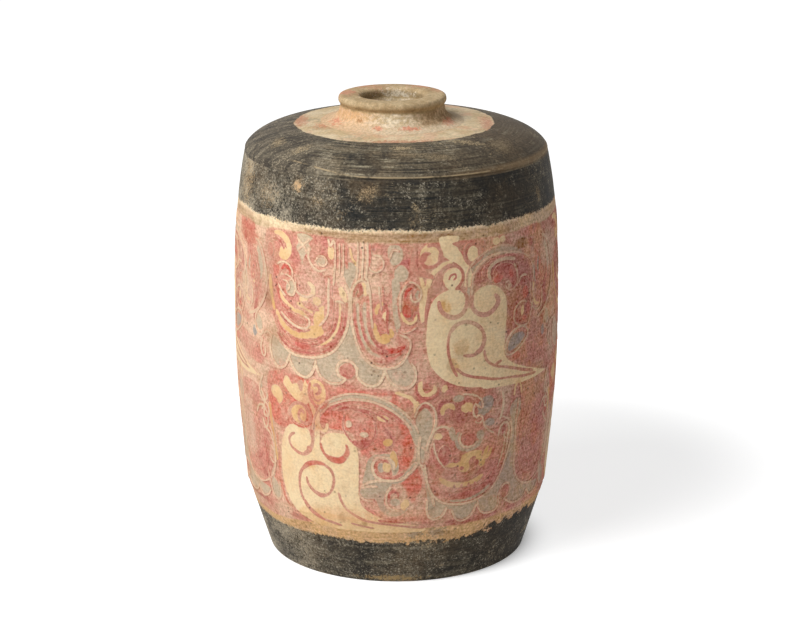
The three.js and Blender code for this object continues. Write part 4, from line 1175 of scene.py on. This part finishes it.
def wrapped(paint, name, lift):
    """Lays one paint's strokes round the wall three times and gives them a thin closed body."""
    drawn, faces, rings, tones, inner = [], [], [], [], []
    for copy in (0, 1, -1):
        for face, tone in paint:
            faces.append(list(range(len(drawn), len(drawn) + len(face))))
            tones.append(tone)
            ring = list(face)
            if len(face) > 3:
                for a, b in zip(face, [*face[1:], face[0]]):
                    inward = Vector((a.y - b.y, b.x - a.x)).normalized()
                    ring.append((a + b) / 2 + inward * JUST_INSIDE)
            placed = []
            for point in ring:
                at = Vector((point.x * 0.03, point.y * 0.03, copy * 7.3))
                sway = abs(copy) * REPEAT_SWAY * noise.noise(at)
                rise = abs(copy) * REPEAT_SWAY * noise.noise(at + Vector((5.5, 2.2, 0)))
                placed.append(Vector((point.x + sway + copy * THIRD / MM, point.y + rise)))
            rings.append(placed[:len(face)])
            drawn += rings[-1]
            inner += placed[len(face):]
    low = min(point.x for point in drawn)
    high = max(point.x for point in drawn)
    for i in range(int((high - low) / GRID_ACROSS)):
        for j in range(GRID_ROWS):
            stagger = GRID_ACROSS / 2 * (j % 2)
            inner.append(Vector((low + GRID_ACROSS * i + stagger, GRID_LOW + GRID_UP * j)))
    points, _, made, _, _, came_from = geometry.delaunay_2d_cdt(drawn + inner, [], faces, 1, 0.02)
    kept = []
    for face, shapes in zip(made, came_from):
        middle = sum((points[corner] for corner in face), Vector((0, 0))) / len(face)
        over = [shape for shape in shapes if covers(rings[shape], middle)]
        if over:
            kept.append((face, tones[max(over)]))
    mesh = bpy.data.meshes.new(name)
    places = []
    for point in points:
        height = point.y * MM
        around = point.x * MM / LEVEL_CIRCLE
        x, y = math.sin(around), -math.cos(around)
        out = outside_at(height) + hand_waver(math.atan2(y, x), height) + lift
        places.append((x * out, y * out, height))
    mesh.from_pydata(places, [], [face for face, _ in kept])
    met = [[] for _ in points]
    for face, tone in kept:
        for corner in face:
            met[corner].append(tone)
    tint = mesh.attributes.new("tint", "FLOAT", "POINT")
    tint.data.foreach_set("value", [sum(near) / max(1, len(near)) for near in met])
    inset = mesh.attributes.new("inset", "FLOAT", "POINT")
    inset.data.foreach_set("value", shore_distance(points, [face for face, _ in kept]))
    piece = bpy.data.objects.new(name, mesh)
    bpy.context.scene.collection.objects.link(piece)
    bpy.ops.object.select_all(action="DESELECT")
    bpy.context.view_layer.objects.active = piece
    piece.select_set(True)
    bpy.ops.object.mode_set(mode="EDIT")
    bpy.ops.mesh.select_all(action="SELECT")
    bpy.ops.mesh.delete_loose()
    bpy.ops.object.mode_set(mode="OBJECT")
    body = piece.modifiers.new("body", "SOLIDIFY")
    body.thickness = PAINT_DEPTH + lift
    body.offset = -1
    bpy.ops.object.modifier_apply(modifier="body")
    return piece


def paint_colours(deep, middle, bright, fray, soft, wear, thin, pooled, film, grit):
    """Colours of one paint over the ground: uneven along each stroke, frayed and rubbed."""
    def build(tree):
        ground = use_group(tree, "wall_ground")
        grain = use_group(tree, "clay_grain")
        place = object_place(tree)
        tint = add(tree, "Attribute", attribute_name="tint").outputs["Fac"]
        inset = add(tree, "Attribute", attribute_name="inset").outputs["Fac"]
        drift = scaled(cloudy(place, 60.0, 7.0, 0.75, 0.3), 1.6, -0.8)
        depth = plus(tint, drift)
        low = times(depth, 2.0, use_clamp=True)
        high = scaled(depth, 2.0, -1.0, use_clamp=True)
        colour = blend(high, blend(low, deep, middle), bright)
        at_edge = times(eased(inset, 0.8, 0.3), pooled)
        colour = blend(at_edge, colour, deep)
        frayed = scaled(cloudy(place, 330.0 / soft, 5.0, 0.75), fray, inset)
        cover = eased(frayed, fray * 0.5 + 0.08, fray * 0.5 + 0.08 + soft)
        patchy = cloudy(place, 75.0, 6.0, 0.75, 0.3)
        rubbed = times(eased(patchy, wear, wear + 0.2), 0.75)
        left = minus(1.0 - thin, rubbed)
        colour = blend(times(cover, left), ground["Color"], colour)
        aged = use_group(tree, "age_marks", {"Color": colour, "Film": film, "Grit": grit})
        roughness = scaled(grain["Mottle"], 0.1, 0.82)
        return aged[0], roughness, grain["Height"]
    return build


paints = [
    ("paint_wash", wash, paint_colours(
        earth(180, 94, 90), earth(216, 142, 124), earth(220, 98, 76), fray=3.0, soft=2.0, wear=0.50,
        thin=0.12, pooled=0.0, film=0.35, grit=1.7)),
    ("paint_grey", grey, paint_colours(
        earth(210, 190, 160), earth(192, 174, 148), earth(154, 154, 152), fray=1.6, soft=0.7, wear=0.54,
        thin=0.10, pooled=0.0, film=0.35, grit=1.2)),
    ("paint_cream", cream, paint_colours(
        earth(250, 224, 180), earth(244, 206, 154), earth(228, 178, 116), fray=1.3, soft=0.5, wear=0.66,
        thin=0.02, pooled=0.0, film=0.15, grit=0.7)),
    ("paint_rose", rose, paint_colours(
        earth(200, 126, 108), earth(218, 164, 140), earth(212, 106, 86), fray=1.3, soft=0.7, wear=0.54,
        thin=0.06, pooled=0.6, film=0.25, grit=1.0)),
    ("paint_red", red, paint_colours(
        earth(180, 84, 78), earth(210, 124, 108), earth(206, 64, 56), fray=1.3, soft=0.6, wear=0.50,
        thin=0.12, pooled=0.2, film=0.25, grit=1.5)),
    ("paint_pale", pale, paint_colours(
        earth(224, 194, 162), earth(238, 212, 176), earth(242, 218, 180), fray=1.2, soft=0.6, wear=0.50,
        thin=0.14, pooled=0.0, film=0.3, grit=1.1))]
for number, (name, paint, colours) in enumerate(paints):
    piece = wrapped(paint, name, (LOWEST_LIFT + NEXT_LIFT * number) * MM)
    piece.data.materials.append(fired_finish(name, colours, bump=0.25))
    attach(piece, "root")

# Shoulder
# A low dome luted onto the wall, black over buff clay, with a turned line round its arris and
# a cream ring round the neck. The paint shows the concentric strokes of the brush on the wheel.
SEAT_RADIUS = 50 * MM
OPENING_RADIUS = 26 * MM
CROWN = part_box("shoulder")[1].z
SHOULDER_THICKNESS = 8.5 * MM
CREAM_RING = 68.2 * MM
RING_CENTRE_X = -1.4 * MM

tool_low = (outside_at(EDGE_HEIGHT - 1.5 * MM), EDGE_HEIGHT - 1.5 * MM)
tool_deep = (outside_at(EDGE_HEIGHT - 0.8 * MM) - 0.45 * MM, EDGE_HEIGHT - 0.8 * MM)
tool_high = (EDGE_RADIUS + 0.2 * MM, EDGE_HEIGHT)
dome_edge = (EDGE_RADIUS, EDGE_HEIGHT + 0.7 * MM)
seat_edge = (SEAT_RADIUS, CROWN)
under_crown = (OPENING_RADIUS, CROWN - SHOULDER_THICKNESS)
shoulder_outline = [joint, tool_low, tool_deep, tool_high, dome_edge,
                    *bent(dome_edge, (EDGE_RADIUS - 5.5 * MM, EDGE_HEIGHT + 9.5 * MM),
                          (SEAT_RADIUS + 30 * MM, CROWN - 0.6 * MM), seat_edge, 30),
                    *straight(seat_edge, (OPENING_RADIUS, CROWN), 6),
                    *straight((OPENING_RADIUS, CROWN), under_crown, 3),
                    *bent(under_crown, (SEAT_RADIUS + 22 * MM, under_crown[1] - 0.8 * MM),
                          (EDGE_RADIUS - 13 * MM, EDGE_HEIGHT + 4 * MM), inner_joint, 20),
                    *straight(inner_joint, joint, 3)]
jar_shoulder = turned("jar_shoulder", shoulder_outline, smooth_below=50)


def shoulder_colours(tree):
    place = object_place(tree)
    axes = parted(place)
    grain = use_group(tree, "clay_grain")
    right_side = eased(axes[0], -0.02, 0.08)
    black = use_group(tree, "black_earth",
                      {"Dust": -0.35, "Warmth": scaled(right_side, 0.75, -0.05),
                       "Brushed": scaled(right_side, -0.75, 1.2), "Shade": 0.0})
    coat = black["Color"]
    swept = add(tree, "Mapping", {0: place, 2: (0, 0, math.radians(-58)), 3: (30, 150, 60)})
    sweep = cloudy(swept.outputs[0], 1.0, 5.0, 0.65, 0.5)
    # Towards the far left, the lit side, the shoulder turns lighter with brush sweeps and dust: real
    # marks and painted light together.
    far_left_sweeps_and_light = eased(axes[0], -0.036, -0.062)
    coat = blend(times(far_left_sweeps_and_light, 0.8), coat,
                 blend(eased(sweep, 0.42, 0.62), earth(50, 45, 41), earth(100, 91, 78)))
    swept_dust = times(patches(place, 680.0, 3.0, 0.7, 0.52, 0.62), times(eased(sweep, 0.40, 0.60), 0.6))
    coat = blend(times(far_left_sweeps_and_light, swept_dust), coat, earth(190, 176, 148))
    flecked = patches(place, 1000.0, 5.0, 0.9, 0.44, 0.56)
    for centre, spread, strength in (
            ((4, -77, 300), (8, 3, 5), 0.95), ((47, -60, 300), (14, 4, 5), 0.7),
            ((-79, -42, 296), (5, 7, 5), 0.6), ((-62, -64, 296), (7, 4, 5), 0.6),
            ((20, -86, 297), (26, 3, 4), 0.35), ((70, -55, 297), (9, 14, 5), 0.3)):
        coat = blend(times(blot(place, centre, spread, strength), flecked), coat, earth(206, 182, 142))
    left_side = eased(axes[0], -0.02, -0.07)
    line_height = scaled(left_side, 0.0045, 0.2860)
    off_line = maths("ABSOLUTE", minus(axes[2], line_height))
    line = times(eased(off_line, 0.0006, 0.0002), patches(place, 40.0, 5.0, 0.7, 0.40, 0.54))
    line = times(line, eased(axes[0], -0.078, -0.060))
    coat = blend(times(line, 0.75), coat, earth(186, 164, 128))
    worn = times(eased(off_line, 0.0034, 0.0008), eased(axes[0], 0.02, 0.09))
    coat = blend(times(worn, 0.4), coat, earth(172, 142, 104))
    flat = add(tree, "VectorMath", {0: place, 1: (1, 1, 0)}, operation="MULTIPLY").outputs[0]
    out = add(tree, "VectorMath", {0: flat, 1: (RING_CENTRE_X, 0, 0)}, operation="DISTANCE")
    wander = scaled(cloudy(place, 55.0, 6.0, 0.75), 0.007, -0.0035)
    reach = plus(out.outputs["Value"], wander)
    cream = blend(patches(place, 60.0, 6.0, 0.7, 0.4, 0.62), earth(206, 182, 142), earth(228, 208, 174))
    cream = blend(times(patches(place, 26.0, 6.0, 0.7, 0.5, 0.62, 0.4), 0.5), cream,
                  earth(222, 170, 140))
    cream = blend(times(patches(place, 44.0, 7.0, 0.8, 0.54, 0.64), 0.5), cream, earth(158, 146, 120))
    cream = blend(blot(place, (-44, -18, 302), (12, 10, 5), 0.7), cream, earth(204, 126, 92))
    for centre, spread in (((-66, 6, 302), (5, 26, 6)), ((3, -67, 301), (26, 5, 6)),
                           ((62, -10, 302), (5, 28, 6))):
        cream = blend(blot(place, centre, spread, 0.55), cream, earth(186, 100, 80))
    cream = blend(1.0, cream, scaled(grain["Sand"], 0.9, 0.55), "MULTIPLY")
    colour = blend(eased(reach, CREAM_RING - 0.0004, CREAM_RING + 0.0004), cream, coat)
    return colour, black["Roughness"], black["Height"]


jar_shoulder.data.materials.append(fired_finish("painted_shoulder_clay", shoulder_colours))
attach(jar_shoulder, "root")
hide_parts("shoulder")

# Neck
# A short collar that sweeps up from the shoulder, set a little off the wheel's centre and
# covered with cream slip over red. Its bore opens through the shoulder into the jar.
NECK_X = -2.7 * MM
NECK_RADIUS = 36.0 * MM
BORE = 22 * MM
RIM_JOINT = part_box("neck")[1].z

flare = (49.0 * MM, CROWN + 0.1 * MM)
throat = (NECK_RADIUS, CROWN + 8.2 * MM)
neck_top = (NECK_RADIUS - 0.5 * MM, RIM_JOINT)
bore_top = (BORE + 0.6 * MM, RIM_JOINT)
neck_outline = [
    (flare[0], CROWN), flare,
    *bent(flare, (flare[0] - 7 * MM, CROWN + 0.9 * MM), (NECK_RADIUS + 1.2 * MM, CROWN + 4.0 * MM),
          throat, 18),
    *straight(throat, neck_top, 4), *straight(neck_top, bore_top, 3),
    *bent(bore_top, (BORE, RIM_JOINT - 3 * MM), (BORE, CROWN + 4 * MM), (BORE + 1.2 * MM, CROWN), 10),
    *straight((BORE + 1.2 * MM, CROWN), (flare[0], CROWN), 4)]
jar_neck = turned("jar_neck", neck_outline, centre_x=NECK_X)


def neck_colours(tree):
    place = object_place(tree)
    axes = parted(place)
    grain = use_group(tree, "clay_grain")
    speckle = patches(place, 340.0, 5.0, 0.8, 0.38, 0.66)
    slip = blend(speckle, earth(196, 174, 136), earth(242, 227, 202))
    left_side = eased(axes[0], -0.004, -0.03)
    slip = blend(times(left_side, 0.6), slip, earth(220, 164, 110))
    slip = blend(blot(place, (-24, -30, 308), (2.4, 3, 2), 0.8), slip, earth(160, 110, 62))
    low = eased(axes[2], 0.3095, 0.3045)
    slip = blend(times(low, 0.5), slip, earth(222, 196, 164))
    # Painted shade: the upper neck turns dark brown towards the right, the side turned from the lamp.
    right_side = times(eased(axes[0], 0.004, 0.022), eased(axes[2], 0.3035, 0.3065))
    slip = blend(times(right_side, 0.75), slip,
                 blend(speckle, earth(128, 94, 58), earth(190, 156, 112)))
    for centre, spread, strength in (
            ((-12, -39.5, 305), (4, 4, 1.4), 0.9), ((9, -40, 304.8), (8, 4, 1.3), 1.0),
            ((-38, -14, 304), (7, 10, 3), 0.9), ((36, -17, 305), (6, 9, 2.6), 0.8)):
        slip = blend(times(blot(place, centre, spread, strength), 0.6), slip, earth(214, 112, 88))
    # Painted shade: a darker brown band round the top of the neck, under the rim's overhang.
    shade_under_rim = eased(scaled(cloudy(place, 90.0, 5.0, 0.7), 0.006, axes[2]), 0.3156, 0.3176)
    colour = blend(times(shade_under_rim, 0.9), slip, earth(164, 140, 100))
    colour = blend(times(grain["Pits"], 0.6), colour, earth(120, 92, 60))
    colour = blend(1.0, colour, scaled(grain["Sand"], 0.9, 0.55), "MULTIPLY")
    roughness = scaled(grain["Mottle"], 0.1, 0.8)
    return colour, roughness, grain["Height"]


jar_neck.data.materials.append(fired_finish("slipped_neck_clay", neck_colours))
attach(jar_neck, "root")
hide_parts("neck")

# Mouth rim
# A coil of clay rolled round the top of the neck, level on top where a cover would rest. Its
# paint is rubbed away to grey-brown clay.
RIM_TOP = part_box("mouth_rim")[1].z
RIM_RADIUS = 36.9 * MM
RIM_WIDEST = 317.6 * MM

rim_widest = (RIM_RADIUS, RIM_WIDEST)
land_out = (33.6 * MM, RIM_TOP)
land_in = (26 * MM, RIM_TOP)
lip_in = (BORE, RIM_TOP - 2.6 * MM)
rim_outline = [
    neck_top,
    *bent(neck_top, (neck_top[0] + 0.4 * MM, RIM_JOINT + 1.4 * MM), (RIM_RADIUS, RIM_WIDEST - 1.6 * MM),
          rim_widest, 8),
    *bent(rim_widest, (RIM_RADIUS, RIM_WIDEST + 2.4 * MM), (land_out[0] + 2.4 * MM, RIM_TOP),
          land_out, 10),
    *straight(land_out, land_in, 4),
    *bent(land_in, (BORE + 1.4 * MM, RIM_TOP), (BORE, RIM_TOP - 1 * MM), lip_in, 7),
    *straight(lip_in, bore_top, 3), *straight(bore_top, neck_top, 3)]
jar_rim = turned("jar_rim", rim_outline, centre_x=NECK_X)


def rim_colours(tree):
    place = object_place(tree)
    height = parted(place)[2]
    grain = use_group(tree, "clay_grain")
    patchy = patches(place, 110.0, 7.0, 0.8, 0.36, 0.64, 0.4)
    clay = blend(patchy, earth(176, 150, 112), earth(208, 184, 146))
    # Painted shade: the rim's outer side, below its top, is darker than the top.
    low = eased(height, 0.3190, 0.3160)
    clay = blend(times(low, 0.6), clay, blend(patchy, earth(152, 128, 90), earth(172, 146, 106)))
    for centre, spread, strength in (((-34, 4, 321), (7, 12, 5), 0.55),
                                     ((-22, 26, 321), (14, 8, 5), 0.4),
                                     ((22, 27, 321), (14, 8, 5), 0.5), ((30, 12, 321), (7, 8, 4), 0.3)):
        clay = blend(blot(place, centre, spread, strength), clay, earth(216, 134, 112))
    bore_flake = times(blot(place, (2, 23, 316), (17, 8, 4)),
                       patches(place, 260.0, 5.0, 0.8, 0.42, 0.56))
    clay = blend(bore_flake, clay, earth(236, 222, 196))
    colour = blend(1.0, clay, scaled(grain["Sand"], 1.0, 0.5), "MULTIPLY")
    roughness = scaled(grain["Mottle"], 0.15, 0.7)
    return colour, roughness, grain["Height"]


jar_rim.data.materials.append(fired_finish("bare_rim_clay", rim_colours))
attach(jar_rim, "root")
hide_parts("mouth_rim")

# Floor
# A pale table top that takes the jar's soft shadow. Its glow is weaker round the shadow's middle and
# near the foot, and its diffuse part stronger near the foot, so the lamp's shadow shows deeper there: a
# painted shadow over the real one.
FLOOR_SIZE = 12.0
SHADOW_MIDDLE = (0.10, 0.15, 0.0)
CONTACT_WIDTH = 0.03


def looked_at_straight(tree):
    """1 where the camera or a reflection sees the surface, 0 for light that bounces off it."""
    seen = add(tree, "LightPath")
    return maths("MAXIMUM", seen.outputs["Is Camera Ray"], seen.outputs["Is Glossy Ray"])


bpy.ops.object.select_all(action="DESELECT")
bpy.ops.mesh.primitive_plane_add(size=FLOOR_SIZE, location=(0, 0, 0))
floor = bpy.context.object
floor.name = floor.data.name = "floor"
paper = bpy.data.materials.new("pale_floor")
paper.use_nodes = True
tree = paper.node_tree
tree.nodes.remove(tree.nodes["Principled BSDF"])
looked_at = looked_at_straight(tree)
place = object_place(tree)
from_shadow = add(tree, "VectorMath", {0: place, 1: SHADOW_MIDDLE}, operation="DISTANCE")
# Painted shadow: the glow is lower round SHADOW_MIDDLE, so the shadow only shows there.
away_from_shadow_patch = eased(from_shadow.outputs["Value"], 0.12, 0.26)
from_middle = add(tree, "VectorMath", {0: place}, operation="LENGTH")
from_foot = minus(from_middle.outputs["Value"], FOOT_RADIUS)
# Painted contact shadow: near the foot the glow is cut and the diffuse raised.
contact_shadow_patch = maths("POWER", scaled(from_foot, -1 / CONTACT_WIDTH, 1.0, use_clamp=True), 3.0)
shadowed = blend(contact_shadow_patch, (0.36, 0.36, 0.36, 1), (0.92, 0.92, 0.92, 1))
lit = add(tree, "BsdfDiffuse", {"Color": shadowed})
glow = add(tree, "Emission", {"Color": (1, 1, 1, 1)})
glowing = scaled(away_from_shadow_patch, 0.225, 0.775)
tree.links.new(scaled(contact_shadow_patch, -0.6, glowing), glow.inputs["Strength"])
shown = add(tree, "AddShader", {0: lit.outputs[0], 1: glow.outputs[0]})
plain = add(tree, "BsdfDiffuse", {"Color": (0.8, 0.8, 0.8, 1)})
mixed = add(tree, "MixShader", {0: looked_at, 1: plain.outputs[0], 2: shown.outputs[0]})
tree.links.new(mixed.outputs[0], tree.nodes["Material Output"].inputs["Surface"])
floor.data.materials.append(paper)

# Light and camera
# A large soft lamp from the upper left front, a weak fill from the right and an even room.
AIM = Vector((0, 0, 0.16))
ROOM_LIGHT = 0.08
CAMERA_PLACE = (0.00246, -1.6302, 0.64209)
CAMERA_TILT = 73.522
CAMERA_LENS = 109.26


def soft_lamp(name, azimuth, elevation, distance, size, power):
    """An area lamp aimed at the jar; azimuth 0 is the front, and it grows to the right."""
    turn, rise = math.radians(azimuth), math.radians(elevation)
    away = Vector((math.sin(turn) * math.cos(rise), -math.cos(turn) * math.cos(rise), math.sin(rise)))
    lamp = bpy.data.objects.new(name, bpy.data.lights.new(name, "AREA"))
    lamp.data.shape = "DISK"
    lamp.data.size = size
    lamp.data.energy = power
    lamp.location = AIM + away * distance
    lamp.rotation_euler = away.to_track_quat("Z", "Y").to_euler()
    bpy.context.scene.collection.objects.link(lamp)


soft_lamp("key_lamp", azimuth=-49, elevation=46, distance=2.0, size=1.2, power=40.4)
soft_lamp("fill_lamp", azimuth=95, elevation=15, distance=2.5, size=1.6, power=10.5)

world = bpy.data.worlds.new("studio")
bpy.context.scene.world = world
world.use_nodes = True
tree = world.node_tree
looked_at = looked_at_straight(tree)
strength = scaled(looked_at, 1.0 - ROOM_LIGHT, ROOM_LIGHT)
tree.links.new(strength, tree.nodes["Background"].inputs["Strength"])
tree.nodes["Background"].inputs["Color"].default_value = (1, 1, 1, 1)

camera = bpy.data.objects.new("camera", bpy.data.cameras.new("camera"))
camera.location = CAMERA_PLACE
camera.rotation_euler = (math.radians(CAMERA_TILT), 0, 0)
camera.data.sensor_width = 36.0
camera.data.lens = CAMERA_LENS
bpy.context.scene.collection.objects.link(camera)
bpy.context.scene.camera = camera
bpy.context.scene.view_settings.view_transform = "Standard"
